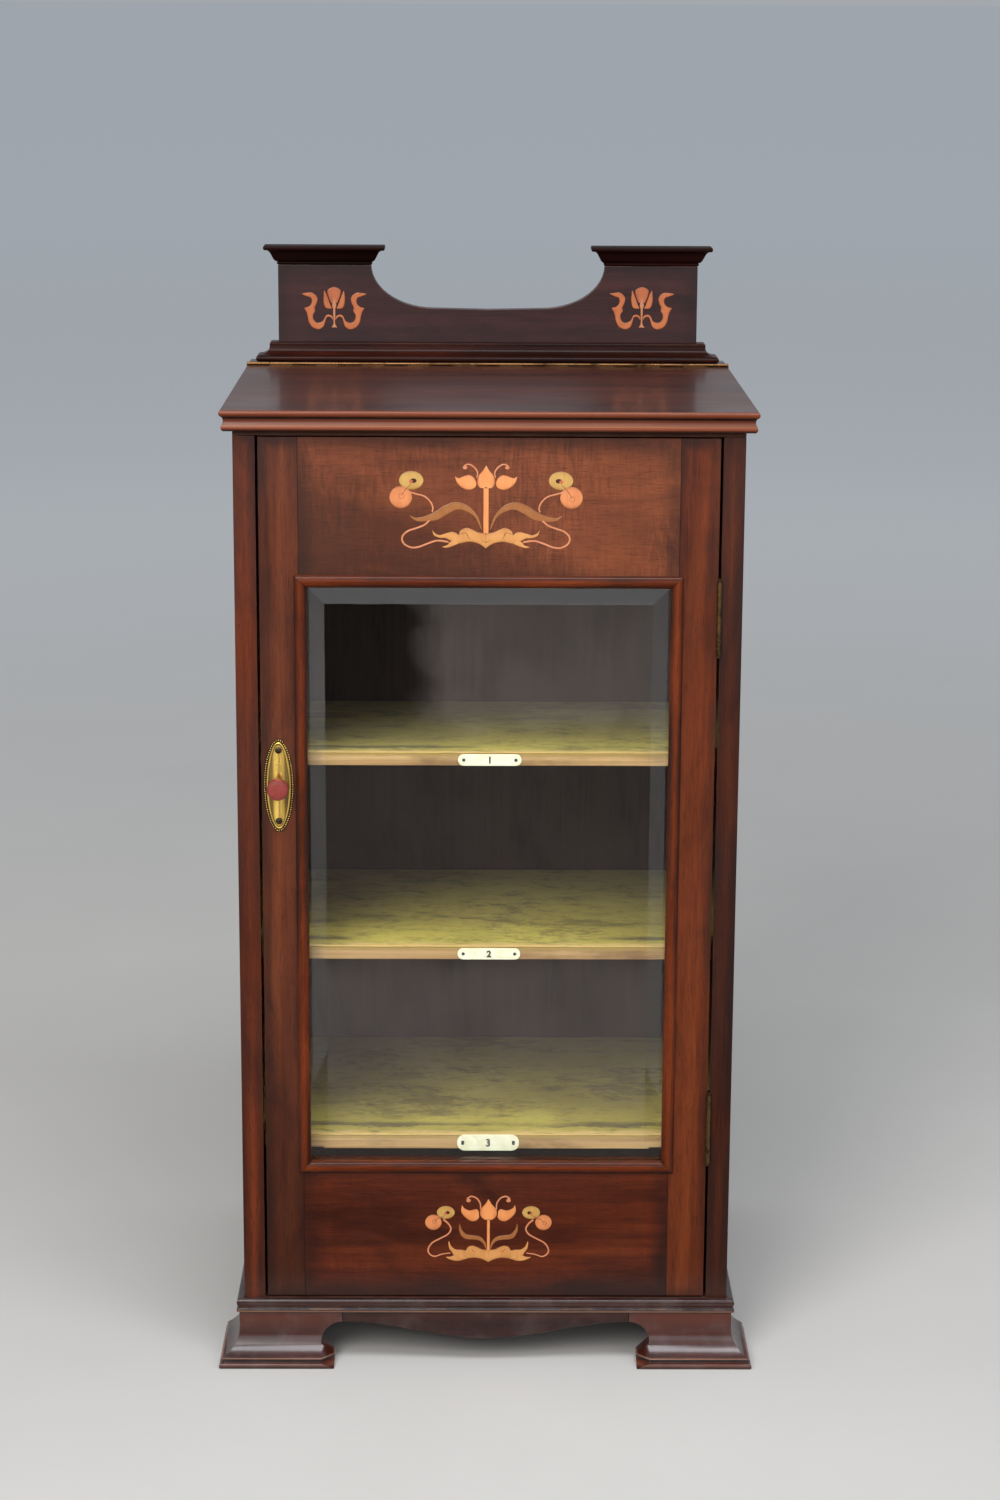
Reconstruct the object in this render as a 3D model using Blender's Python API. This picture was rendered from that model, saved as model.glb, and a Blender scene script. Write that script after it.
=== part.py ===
"""Sheet music cabinet: a lift-up lid over a well, a glazed door and three lined shelves.

Metres, +Z up. The front faces -Y, and the origin is on the floor below the middle of the whole
cabinet. Run it with blender --background --python part.py, or from Blender's text editor.
"""

import math

import bmesh
import bpy
from mathutils import Matrix, Vector

# Carcass
body_width = 0.508
body_depth = 0.447
side_thickness = 0.022
carcass_bottom_height = 0.0565
bottom_board_thickness = 0.014
housing_depth = 0.006
back_panel_thickness = 0.008
back_panel_inset = 0.002
back_rebate_width = 0.010

# What two pieces that touch keep between them, and how far a cutter passes its cut
seat_gap = 0.0003
cut_overrun = 0.004

# Top: the lid, the fixed rail behind it and the thin frame that both lie on
lid_top_height = 1.008
lid_thickness = 0.021
top_overhang = 0.0125
rear_rail_depth = 0.0610
sub_top_thickness = 0.0046
sub_top_front_rim = 0.047
sub_top_side_rim = 0.034
sub_top_back_rim = 0.066
edge_bead_height = 0.0064
edge_bead_reach = 0.0027
edge_hollow_depth = 0.0016
edge_foot_height = 0.0056
edge_foot_inset = 0.0019
edge_foot_round_height = 0.0036
edge_foot_round_reach = 0.0031
edge_foot_arris_inset = 0.0005

# Gallery that stands on the fixed rail
gallery_thickness = 0.012
gallery_width = 0.467
tower_width = 0.1036
tower_height = 0.106
dip_height = 0.0572
dip_shoulder_height = 0.0584
dip_curve_reach = 0.070
cap_overhang = 0.0155
cap_board_thickness = 0.0049
cap_board_rounding = 0.0013
cap_mould_height = 0.0161
cap_mould_bead_height = 0.0033
cap_mould_bead_reach = 0.0012
cap_mould_top_inset = 0.0036
gallery_mould_height = 0.0208
gallery_mould_reach = 0.0239
gallery_mould_bead_height = 0.0072
gallery_mould_fillet_height = 0.0051
gallery_mould_fillet_reach = 0.0094
gallery_mould_fillet_rounding = 0.0022

# Well under the lid
well_depth = 0.1301
well_floor_thickness = 0.010
well_front_thickness = 0.012

# Shelves, which fall a little to the back
lowest_shelf_height = 0.2400
shelf_spacing = 0.2065
shelf_thickness = 0.0125
lower_shelf_fall = 0.0285
middle_shelf_fall = 0.0305
upper_shelf_fall = 0.0365
shelf_setback = 0.0095
baize_thickness = 0.0012
baize_margin = 0.0020
label_length = 0.0650
label_height = 0.0122
tall_label_height = 0.0165
label_thickness = 0.0012
label_offset = 0.0020

# Door
door_side_gap = 0.0028
door_top_gap = 0.0015
door_bottom_gap = 0.0020
door_setback = 0.0005
door_thickness = 0.020
door_stop_clearance = 0.0015
stile_width = 0.039
top_rail_height = 0.143
bottom_rail_height = 0.142
glass_rebate_width = 0.0072
glass_rebate_depth = 0.0110
glass_thickness = 0.0050
glass_edge_thickness = 0.0022
glass_bevel_width = 0.0180
glazing_bead_cover = 0.0048
glazing_bead_reach = 0.0078
glazing_bead_proud = 0.0046

# Butt hinges of the door
door_hinge_length = 0.075
upper_hinge_height = 0.800
lower_hinge_height = 0.2595
door_knuckle_radius = 0.0024
door_knuckle_clearance = 0.0004
door_knuckle_count = 5
door_leaf_thickness = 0.0014
door_leaf_depth = 0.0160
door_leaf_split = 0.0002
door_pin_radius = 0.0012
door_pin_bore_radius = 0.0015
pin_head_radius = 0.0020
pin_head_height = 0.0030

# Long hinge of the lid
lid_hinge_length = 0.532
lid_hinge_joint = 0.0034
lid_knuckle_radius = 0.0019
lid_knuckle_rise = 0.0018
lid_knuckle_count = 21
lid_leaf_thickness = 0.0010
lid_leaf_depth = 0.0140
lid_leaf_split = 0.0004
lid_pin_radius = 0.0006
lid_pin_bore_radius = 0.0009
knuckle_end_gap = 0.0003

# Handle and latch
handle_height = 0.6262
handle_inset = 0.0174
plate_width = 0.0308
plate_height = 0.0968
plate_thickness = 0.0022
plate_edge_thickness = 0.0010
plate_field_thickness = 0.0014
plate_rim_width = 0.0036
knob_radius = 0.0110
knob_face_radius = 0.0092
knob_length = 0.0215
knob_neck_radius = 0.0062
knob_neck_length = 0.0070
knob_bore_depth = 0.0150
spindle_radius = 0.0030
spindle_clearance = 0.0004
tongue_length = 0.0280
tongue_width = 0.0090
tongue_thickness = 0.0025
tongue_gap = 0.0008
mortice_clearance = 0.0014

# Plinth: base moulding, shaped aprons and bracket feet
base_mould_height = 0.0140
base_mould_reach = 0.0076
base_mould_bead_height = 0.0078
base_mould_groove_height = 0.0026
base_mould_groove_depth = 0.0020
plinth_thickness = 0.0080
plinth_top_reach = 0.0052
plinth_neck_height = 0.0360
plinth_flare = 0.0260
plinth_fillet_height = 0.0105
plinth_fillet_inset = 0.0018
plinth_groove_height = 0.0040
plinth_groove_depth = 0.0045
plinth_bead_height = 0.0060
foot_wing_width = 0.1030
foot_neck_width = 0.0812
foot_toe_width = 0.0948
foot_side_shortfall = 0.0080
foot_arris = 0.0004
arch_height = 0.0450
apron_swag_height = 0.0270

# Numbers of steps, not sizes
bead_steps = 6
cove_steps = 6
curve_steps = 14
apron_steps = 24
knuckle_sides = 12
round_sides = 32

# Shares that give curves their character
cove_turn = math.radians(65)
ogee_sway_share = 0.12
plinth_bead_round_share = 0.35
knob_waist_share = 0.86
knob_shoulder_share = 0.92
knob_shoulder_fall_share = 0.6
knob_edge_share = 0.97
knob_edge_fall_share = 1.0
knob_crown_fall_share = 2.2
pin_head_tip_share = 0.4
pin_head_round_share = 0.7

# Places that follow from the sizes
half_width = body_width / 2
inner_half = half_width - side_thickness
body_back = (body_depth + plinth_flare) / 2
body_front = body_back - body_depth
lid_bottom = lid_top_height - lid_thickness
sub_top_bottom = lid_bottom - seat_gap - sub_top_thickness
side_top = sub_top_bottom - seat_gap
well_floor_height = sub_top_bottom - well_depth
floor_top = carcass_bottom_height + bottom_board_thickness
back_panel_front = body_back - back_panel_inset - back_panel_thickness
top_front = body_front - top_overhang
top_half = half_width + top_overhang
rear_rail_front = body_back - rear_rail_depth
lid_back = rear_rail_front - lid_hinge_joint
lid_axis_y = (rear_rail_front + lid_back) / 2
lid_axis_z = lid_top_height + lid_knuckle_rise
door_face = body_front + door_setback
door_back = door_face + door_thickness
door_half = inner_half - door_side_gap
door_top = sub_top_bottom - door_top_gap
door_bottom = floor_top + door_bottom_gap
door_axis_x = door_half + door_side_gap / 2
door_axis_y = body_front - door_knuckle_radius - seat_gap
stile_edge = door_half - stile_width
glass_top = door_top - top_rail_height
glass_bottom = door_bottom + bottom_rail_height
shelf_front = door_back + shelf_setback
shelf_back = back_panel_front - seat_gap
housed_half = inner_half + housing_depth - seat_gap
handle_x = -door_half + handle_inset
gallery_front = body_back - gallery_thickness
gallery_half = gallery_width / 2
tower_inner = gallery_half - tower_width
tower_top = lid_top_height + tower_height
plinth_top = carcass_bottom_height - seat_gap

COLOURS = {
    "mahogany": ((0.118, 0.040, 0.022), 0.35, 0.0),
    "figured": ((0.140, 0.053, 0.032), 0.30, 0.0),
    "polished": ((0.102, 0.043, 0.038), 0.18, 0.0),
    "bead": ((0.105, 0.014, 0.006), 0.20, 0.0),
    "pale": ((0.376, 0.238, 0.127), 0.60, 0.0),
    "back": ((0.070, 0.060, 0.055), 0.75, 0.0),
    "baize": ((0.205, 0.190, 0.045), 0.95, 0.0),
    "ivory": ((0.913, 0.871, 0.680), 0.40, 0.0),
    "brass": ((0.578, 0.352, 0.105), 0.35, 1.0),
    "terracotta": ((0.376, 0.061, 0.054), 0.45, 0.0),
    "glass": ((0.800, 0.850, 0.830), 0.05, 0.0),
}


def clear_scene():
    for thing in list(bpy.data.objects):
        bpy.data.objects.remove(thing, do_unlink=True)


def finish(thing, kind):
    """Gives the object its own Principled material in the colour of its kind."""
    colour, roughness, metallic = COLOURS[kind]
    material = bpy.data.materials.new(thing.name)
    material.use_nodes = True
    shader = material.node_tree.nodes["Principled BSDF"]
    shader.inputs["Base Color"].default_value = (*colour, 1.0)
    shader.inputs["Roughness"].default_value = roughness
    shader.inputs["Metallic"].default_value = metallic
    if kind == "glass":
        shader.inputs["Transmission Weight"].default_value = 1.0
    thing.data.materials.append(material)


def made(name, points, faces, kind=None):
    """One object from points and faces, turned outwards, with its creases kept sharp."""
    mesh = bpy.data.meshes.new(name)
    shape = bmesh.new()
    corners = [shape.verts.new(point) for point in points]
    for face in faces:
        shape.faces.new([corners[i] for i in face])
    bmesh.ops.recalc_face_normals(shape, faces=shape.faces)
    if shape.calc_volume(signed=True) < 0:
        bmesh.ops.reverse_faces(shape, faces=shape.faces)
    shape.to_mesh(mesh)
    shape.free()
    mesh.shade_smooth()
    mesh.set_sharp_from_angle(angle=math.radians(32))
    thing = bpy.data.objects.new(name, mesh)
    bpy.context.scene.collection.objects.link(thing)
    if kind is None:
        thing.hide_render = True
        thing.display_type = "WIRE"
    else:
        finish(thing, kind)
    return thing


def loft(name, rings, kind=None, closed=False):
    """Joins rings of equal counts, and caps the first and last, or joins those two as well."""
    count = len(rings[0])
    points = [point for ring in rings for point in ring]
    faces = []
    for row in range(len(rings) if closed else len(rings) - 1):
        low, high = row * count, (row + 1) % len(rings) * count
        for i in range(count):
            j = (i + 1) % count
            faces.append((low + i, low + j, high + j, high + i))
    if not closed:
        faces.append(tuple(range(count)))
        faces.append(tuple(range((len(rings) - 1) * count, len(rings) * count)))
    return made(name, points, faces, kind)


def box_ring(x0, x1, y0, y1, z):
    return [(x0, y0, z), (x1, y0, z), (x1, y1, z), (x0, y1, z)]


def box(name, x0, x1, y0, y1, z0, z1, kind=None):
    return loft(name, [box_ring(x0, x1, y0, y1, z0), box_ring(x0, x1, y0, y1, z1)], kind)


def prism_x(name, outline, x0, x1, kind=None):
    """An outline of (y, z) points carried along X."""
    return loft(name, [[(x, y, z) for y, z in outline] for x in (x0, x1)], kind)


def prism_y(name, outline, y0, y1, kind=None):
    """An outline of (x, z) points carried along Y."""
    return loft(name, [[(x, y, z) for x, z in outline] for y in (y0, y1)], kind)


def prism_z(name, outline, z0, z1, kind=None):
    """An outline of (x, y) points carried along Z."""
    return loft(name, [[(x, y, z) for x, y in outline] for z in (z0, z1)], kind)


def circle(radius, sides):
    turns = [2 * math.pi * i / sides for i in range(sides)]
    return [(radius * math.cos(turn), radius * math.sin(turn)) for turn in turns]


def rods(name, ends, radius, sides, along, centre):
    """Separate rods on one line: each pair of ends is a stretch along the unit axis."""
    axis = Vector(along)
    across = axis.orthogonal().normalized()
    other = axis.cross(across)
    points, faces = [], []
    for start, stop in ends:
        first = len(points)
        for place in (start, stop):
            for u, v in circle(radius, sides):
                points.append(Vector(centre) + axis * place + across * u + other * v)
        ring = range(first, first + sides)
        faces.append(tuple(ring))
        faces.append(tuple(range(first + sides, first + 2 * sides)))
        for i in range(sides):
            j = (i + 1) % sides
            faces.append((first + i, first + j, first + sides + j, first + sides + i))
    return made(name, points, faces)


def turned(name, profile, centre, kind):
    """A profile of (radius, y) points turned about the line along Y through the centre."""
    points, rows, faces = [], [], []
    for radius, y in profile:
        ring = circle(radius, round_sides) if radius > 0 else [(0.0, 0.0)]
        rows.append(list(range(len(points), len(points) + len(ring))))
        points += [(centre[0] + u, centre[1] + y, centre[2] + v) for u, v in ring]
    for low, high in zip(rows, rows[1:]):
        for i in range(round_sides):
            j = (i + 1) % round_sides
            quad = (low[i % len(low)], low[j % len(low)], high[j % len(high)], high[i % len(high)])
            faces.append(tuple(dict.fromkeys(quad)))
    return made(name, points, faces, kind)


def cut(thing, *cutters):
    for cutter in cutters:
        modifier = thing.modifiers.new(cutter.name, "BOOLEAN")
        modifier.operation = "DIFFERENCE"
        modifier.object = cutter
    return thing


def joined(thing, other):
    modifier = thing.modifiers.new(other.name, "BOOLEAN")
    modifier.operation = "UNION"
    modifier.object = other
    return thing


def half_round(low, high, inset, reach):
    """(height, inset) points of a bead between two heights, its crown at the inset."""
    middle, radius = (low + high) / 2, (high - low) / 2
    turns = [math.pi * (i / bead_steps - 0.5) for i in range(bead_steps + 1)]
    return [
        (middle + radius * math.sin(turn), inset + reach * (1 - math.cos(turn)))
        for turn in turns
    ]


def hollow(low, high, reach_low, reach_high):
    """(reach, height) points of a quarter hollow that leaves its low end level."""
    turns = [math.pi / 2 * i / cove_steps for i in range(cove_steps + 1)]
    return [
        (
            reach_low + (reach_high - reach_low) * math.sin(turn),
            low + (high - low) * (1 - math.cos(turn)),
        )
        for turn in turns
    ]


def ogee(low, high, inset_low, inset_high):
    """(height, inset) points of an S that leaves both ends level and is steep in the middle."""
    shares = [i / (2 * cove_steps) for i in range(2 * cove_steps + 1)]
    return [
        (
            low + (high - low) * (share - ogee_sway_share * math.sin(2 * math.pi * share)),
            inset_low + (inset_high - inset_low) * share,
        )
        for share in shares
    ]


def top_edge_profile():
    """The moulded edge of the top, upwards: a foot with a round lower edge, a hollow, a bead."""
    bead_low = lid_thickness - edge_bead_height
    points = []
    for i in range(bead_steps + 1):
        turn = math.pi / 2 * i / bead_steps
        inset = edge_foot_inset + edge_foot_round_reach * (1 - math.sin(turn))
        points.append((edge_foot_round_height * (1 - math.cos(turn)), inset))
    low_inset, high_inset = edge_foot_inset + edge_foot_arris_inset, edge_bead_reach
    for i in range(cove_steps):
        share = i / cove_steps
        inset = low_inset + (high_inset - low_inset) * share
        height = edge_foot_height + (bead_low - edge_foot_height) * share
        points.append((height, inset + edge_hollow_depth * math.sin(math.pi * share)))
    return points + half_round(bead_low, lid_thickness, 0, edge_bead_reach)


def base_mould_profile():
    """The base moulding, upwards: a fillet, a groove and a rounded bead."""
    bead_low = base_mould_height - base_mould_bead_height
    groove_low = bead_low - base_mould_groove_height
    reach = base_mould_reach
    points = [(0, 0), (reach, 0), (reach, groove_low)]
    points += [(reach - base_mould_groove_depth, groove_low)]
    points += [(reach - base_mould_groove_depth, bead_low)]
    rounding = half_round(bead_low, base_mould_height, 0, base_mould_groove_depth)
    points += [(reach - inset, height) for height, inset in rounding[1:]]
    return points + [(0, base_mould_height)]


def gallery_mould_profile():
    """The moulding at the gallery's foot, upwards: a bead, a hollow and a rounded fillet."""
    bead, reach = gallery_mould_bead_height, gallery_mould_reach
    fillet, radius = gallery_mould_fillet_reach, gallery_mould_fillet_rounding
    fillet_low = gallery_mould_height - gallery_mould_fillet_height
    points = [(0, 0)]
    rounding = half_round(0, bead, 0, bead / 2)
    points += [(reach - inset, height) for height, inset in rounding]
    points += hollow(bead, fillet_low, reach - bead / 2, fillet)[1:]
    for i in range(bead_steps + 1):
        turn = math.pi / 2 * i / bead_steps
        drop = radius * (1 - math.sin(turn))
        points.append((fillet - radius * (1 - math.cos(turn)), gallery_mould_height - drop))
    return points + [(0, gallery_mould_height)]


def plinth_reach(height):
    """How far the plinth's face stands out from the body at a height above the floor."""
    outline = plinth_profile()
    for (low, reach_low), (high, reach_high) in zip(outline, outline[1:]):
        if low <= height <= high and high > low:
            return reach_low + (reach_high - reach_low) * (height - low) / (high - low)
    return outline[-1][1]


def plinth_profile():
    """(height, reach) upwards: bead, groove, fillet, the long hollow, then the plain face."""
    bead, groove = plinth_bead_height, plinth_bead_height + plinth_groove_height
    fillet_reach = plinth_flare - plinth_fillet_inset
    rounding = half_round(0, bead, 0, bead * plinth_bead_round_share)
    points = [(height, plinth_flare - inset) for height, inset in rounding[:-1]]
    points += [(bead, plinth_flare - plinth_groove_depth)]
    points += [(groove, plinth_flare - plinth_groove_depth)]
    points += [(plinth_fillet_height, fillet_reach)]
    drop = plinth_neck_height - plinth_fillet_height
    for i in range(cove_steps - 1, -1, -1):
        turn = cove_turn * i / cove_steps
        spread = (1 - math.cos(turn)) / (1 - math.cos(cove_turn))
        height = plinth_neck_height - drop * math.sin(turn) / math.sin(cove_turn)
        points.append((height, plinth_top_reach + (fillet_reach - plinth_top_reach) * spread))
    return points + [(plinth_top, plinth_top_reach)]


def wing_width(height):
    """Length of a foot's wing: a toe that spreads, a neck and the arch up to the apron."""
    radius = foot_wing_width - foot_neck_width
    neck = arch_height - radius
    if height >= arch_height:
        return foot_wing_width
    if height >= neck:
        return foot_wing_width - math.sqrt(radius**2 - (height - neck) ** 2)
    share = min((neck - height) / (neck - plinth_fillet_height), 1)
    return foot_neck_width + (foot_toe_width - foot_neck_width) * share


def face_width(height):
    """Length of a wing's moulded face, which is cut back at 45 degrees from the spreading toe."""
    neck = arch_height - (foot_wing_width - foot_neck_width)
    wing = wing_width(height) - foot_arris
    if height >= neck:
        return wing
    share = max(1 - height / plinth_bead_height, 0)
    return min(wing, foot_neck_width + (foot_toe_width - foot_neck_width) * share)


def strip(name, profile, start, stop, outward, mitres, kind):
    """A moulding of (reach, height) points from start to stop; a mitre of 1 or -1 lengthens or
    shortens that end by the reach, so that two strips meet on a 45 degree line."""
    start, stop, outward = Vector(start), Vector(stop), Vector(outward)
    along = (stop - start).normalized()
    rings = []
    for place, mitre, turn in ((start, mitres[0], -1), (stop, mitres[1], 1)):
        rings.append(
            [
                place + outward * reach + along * (turn * mitre * reach) + Vector((0, 0, height))
                for reach, height in profile
            ]
        )
    return loft(name, rings, kind)


def on_axis(name, place, pieces, parent=None):
    """An empty on a joint's axis that carries the pieces, which stay where they are."""
    empty = bpy.data.objects.new(name, None)
    bpy.context.scene.collection.objects.link(empty)
    empty.location = place
    here = Matrix.Translation(Vector(place))
    if parent:
        empty.parent = parent
        empty.matrix_parent_inverse = Matrix.Translation(-parent.location)
    for piece in pieces:
        piece.parent = empty
        piece.matrix_parent_inverse = here.inverted()
    return empty


def sloped(front_top, fall, front, back, grow=0.0):
    """(y, z) outline of a shelf that falls to the back, grown on its faces for a groove."""
    return [
        (front, front_top + grow),
        (back, front_top - fall + grow),
        (back, front_top - fall - shelf_thickness - grow),
        (front, front_top - shelf_thickness - grow),
    ]


def shelves():
    """Height of each shelf's front edge, and how far it falls to the back."""
    return {
        "lower": (lowest_shelf_height, lower_shelf_fall),
        "middle": (lowest_shelf_height + shelf_spacing, middle_shelf_fall),
        "upper": (lowest_shelf_height + 2 * shelf_spacing, upper_shelf_fall),
    }


def side_cutters(name, sign):
    """Grooves for the shelves, the boards and the back panel in one side."""
    inner, deep = sign * (inner_half - cut_overrun), sign * (inner_half + housing_depth)
    cutters = []
    for level, (height, fall) in shelves().items():
        groove = sloped(height, fall, shelf_front - seat_gap, back_panel_front, seat_gap)
        cutters.append(prism_x(f"cut_{name}_{level}_shelf", groove, inner, deep))
    cutters.append(
        box(
            f"cut_{name}_well_floor", inner, deep, well_front_back(), back_panel_front,
            well_floor_height - well_floor_thickness - seat_gap, well_floor_height + seat_gap,
        )
    )
    cutters.append(
        box(
            f"cut_{name}_bottom_board", inner, deep, body_front - cut_overrun, back_panel_front,
            carcass_bottom_height - cut_overrun, floor_top + seat_gap,
        )
    )
    rebate = sign * (inner_half + back_rebate_width)
    cutters.append(
        box(
            f"cut_{name}_back_panel", inner, rebate, back_panel_front - seat_gap,
            body_back + cut_overrun, carcass_bottom_height - cut_overrun, side_top + cut_overrun,
        )
    )
    return cutters


def well_front_back():
    return door_back + door_stop_clearance + well_front_thickness + seat_gap


def latch_mortice():
    """The slot in the left side that the tongue sweeps into as the knob turns."""
    depth = tongue_length - handle_inset - door_side_gap + mortice_clearance
    front = door_back + tongue_gap
    return box(
        "cut_latch_mortice", -inner_half - depth, -inner_half + cut_overrun,
        front - mortice_clearance, front + tongue_thickness + mortice_clearance,
        handle_height - tongue_width / 2 - mortice_clearance,
        handle_height + tongue_length,
    )


def hinge_recess(name, side, height):
    """A shallow recess for a leaf: side 1 is in the cabinet's side, -1 in the door's edge."""
    outer = door_axis_x + side * (door_leaf_split + door_leaf_thickness + seat_gap)
    half = door_hinge_length / 2 + seat_gap
    return box(
        name, door_axis_x, outer, door_face - cut_overrun,
        door_axis_y + door_leaf_depth + seat_gap, height - half, height + half,
    )


def make_carcass():
    for name, sign in (("left_side", -1), ("right_side", 1)):
        side = box(
            name, sign * inner_half, sign * half_width, body_front, body_back,
            carcass_bottom_height, side_top, "mahogany",
        )
        cut(side, *side_cutters(name, sign))
        if sign < 0:
            cut(side, latch_mortice())
        else:
            for level, height in hinge_heights().items():
                cut(side, hinge_recess(f"cut_side_{level}_hinge", 1, height))
    box(
        "bottom_board", -housed_half, housed_half, body_front, back_panel_front - seat_gap,
        carcass_bottom_height, floor_top, "mahogany",
    )
    panel_half = inner_half + back_rebate_width - seat_gap
    box(
        "back_panel", -panel_half, panel_half, back_panel_front, body_back - back_panel_inset,
        carcass_bottom_height, side_top, "back",
    )
    box(
        "well_floor", -housed_half, housed_half, well_front_back() + seat_gap, shelf_back,
        well_floor_height - well_floor_thickness, well_floor_height, "pale",
    )
    box(
        "well_front", -inner_half + seat_gap, inner_half - seat_gap,
        door_back + door_stop_clearance, well_front_back() - seat_gap,
        well_floor_height - well_floor_thickness, side_top, "mahogany",
    )


def make_shelves():
    for level, (height, fall) in shelves().items():
        outline = sloped(height, fall, shelf_front, shelf_back)
        prism_x(f"{level}_shelf", outline, -housed_half, housed_half, "pale")
        start = shelf_front + baize_margin
        start_fall = fall * baize_margin / (shelf_back - shelf_front)
        raised = height + seat_gap
        cloth = [
            (start, raised - start_fall),
            (shelf_back, raised - fall),
            (shelf_back, raised - fall + baize_thickness),
            (start, raised - start_fall + baize_thickness),
        ]
        cloth_half = inner_half - seat_gap
        prism_x(f"{level}_baize", cloth, -cloth_half, cloth_half, "baize")
        make_label(level, height)


def make_label(level, shelf_top):
    """An ivory plate with round ends on the front edge of a shelf."""
    tall = tall_label_height if level == "lower" else label_height
    radius, straight = tall / 2, label_length / 2 - tall / 2
    middle = shelf_top - shelf_thickness / 2
    outline = []
    for i in range(2 * curve_steps):
        turn = 2 * math.pi * (i + 0.5) / (2 * curve_steps) - math.pi / 2
        side = 1 if math.cos(turn) > 0 else -1
        outline.append(
            (
                label_offset + side * straight + radius * math.cos(turn),
                middle + radius * math.sin(turn),
            )
        )
    front = shelf_front - seat_gap - label_thickness
    prism_y(f"{level}_label", outline, front, front + label_thickness, "ivory")


def make_top():
    outer = (-half_width, half_width, body_front, body_back)
    inner = (
        -half_width + sub_top_side_rim,
        half_width - sub_top_side_rim,
        body_front + sub_top_front_rim,
        body_back - sub_top_back_rim,
    )
    low, high = sub_top_bottom, sub_top_bottom + sub_top_thickness
    corners = ((outer, low), (outer, high), (inner, high), (inner, low))
    rings = [box_ring(*edges, height) for edges, height in corners]
    loft("sub_top_frame", rings, "mahogany", closed=True)
    lid_rings, rail_rings = [], []
    for height, inset in top_edge_profile():
        half, z = top_half - inset, lid_bottom + height
        lid_rings.append(box_ring(-half, half, top_front + inset, lid_back, z))
        rail_rings.append(box_ring(-half, half, rear_rail_front, body_back, z))
    loft("rear_top_rail", rail_rings, "polished")
    return loft("lid_board", lid_rings, "polished")


def gallery_outline():
    """The two towers with the dip between them: quarter ellipses into a shallow hollow."""
    base, shoulder = lid_top_height + seat_gap, lid_top_height + dip_shoulder_height
    right = [(gallery_half, base), (gallery_half, tower_top)]
    drop = tower_top - shoulder
    for i in range(curve_steps):
        turn = math.pi / 2 * i / (curve_steps - 1)
        x = tower_inner - dip_curve_reach * (1 - math.cos(turn))
        right.append((x, tower_top - drop * math.sin(turn)))
    middle = [(0, lid_top_height + dip_height)]
    left = [(-x, z) for x, z in reversed(right)]
    return right + middle + left


def cap_mould_profile():
    """(height, inset) upwards: a small bead against the tower, then an S out to the board."""
    bead, reach = cap_mould_bead_height, cap_mould_bead_reach
    points = half_round(0, bead, cap_overhang - reach, reach)
    return points + ogee(bead, cap_mould_height, cap_overhang - reach, cap_mould_top_inset)


def make_gallery():
    prism_y("gallery_board", gallery_outline(), gallery_front, body_back, "mahogany")
    for name, sign in (("left", -1), ("right", 1)):
        x0, x1 = sorted((sign * tower_inner, sign * gallery_half))
        low = tower_top + seat_gap
        board_low = low + cap_mould_height + seat_gap
        rounding = half_round(0, cap_board_thickness, 0, cap_board_rounding)
        for piece, base, profile in (
            (f"{name}_cap_mould", low, cap_mould_profile()),
            (f"{name}_cap_board", board_low, rounding),
        ):
            rings = [
                box_ring(
                    x0 - cap_overhang + inset, x1 + cap_overhang - inset,
                    gallery_front - cap_overhang + inset, body_back, base + height,
                )
                for height, inset in profile
            ]
            loft(piece, rings, "mahogany")
    profile = gallery_mould_profile()
    base, front = lid_top_height + seat_gap, gallery_front - seat_gap
    edge = gallery_half + seat_gap
    strip(
        "gallery_mould_front", profile, (-edge, front, base), (edge, front, base),
        (0, -1, 0), (1, 1), "mahogany",
    )
    for name, sign in (("left", -1), ("right", 1)):
        strip(
            f"gallery_mould_{name}", profile, (sign * edge, front + seat_gap, base),
            (sign * edge, body_back, base), (sign, 0, 0), (1, 0), "mahogany",
        )


def make_plinth():
    profile = base_mould_profile()
    front, edge = body_front - seat_gap, half_width + seat_gap
    base = carcass_bottom_height
    strip(
        "base_mould_front", profile, (-edge, front, base), (edge, front, base),
        (0, -1, 0), (1, 1), "mahogany",
    )
    for name, sign in (("left", -1), ("right", 1)):
        strip(
            f"base_mould_{name}", profile, (sign * edge, front + seat_gap, base),
            (sign * edge, body_back, base), (sign, 0, 0), (1, 0), "mahogany",
        )
    radius = foot_wing_width - foot_neck_width
    levels = {height for height, _ in plinth_profile()}
    for i in range(cove_steps + 1):
        levels.add(arch_height - radius * (1 - math.cos(math.pi / 2 * i / cove_steps)))
    for end, y_sign, corner_y in (("front", 1, body_front), ("back", -1, body_back)):
        for side, x_sign in (("left", 1), ("right", -1)):
            rings = [
                foot_ring(height, x_sign, y_sign, -x_sign * half_width, corner_y)
                for height in sorted(levels)
            ]
            loft(f"{end}_{side}_foot", rings, "mahogany")
    reach = half_width - foot_wing_width - seat_gap
    apron("front_apron", reach, apron_swag_height, (0, body_front), (1, 0), (0, -1))
    middle_y = (body_front + body_back) / 2
    side_reach = body_depth / 2 - foot_wing_width + foot_side_shortfall - seat_gap
    apron("left_apron", side_reach, arch_height, (-half_width, middle_y), (0, 1), (-1, 0))
    apron("right_apron", side_reach, arch_height, (half_width, middle_y), (0, 1), (1, 0))
    box(
        "back_apron", -reach, reach, body_back - plinth_thickness, body_back,
        arch_height, plinth_top, "mahogany",
    )


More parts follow.
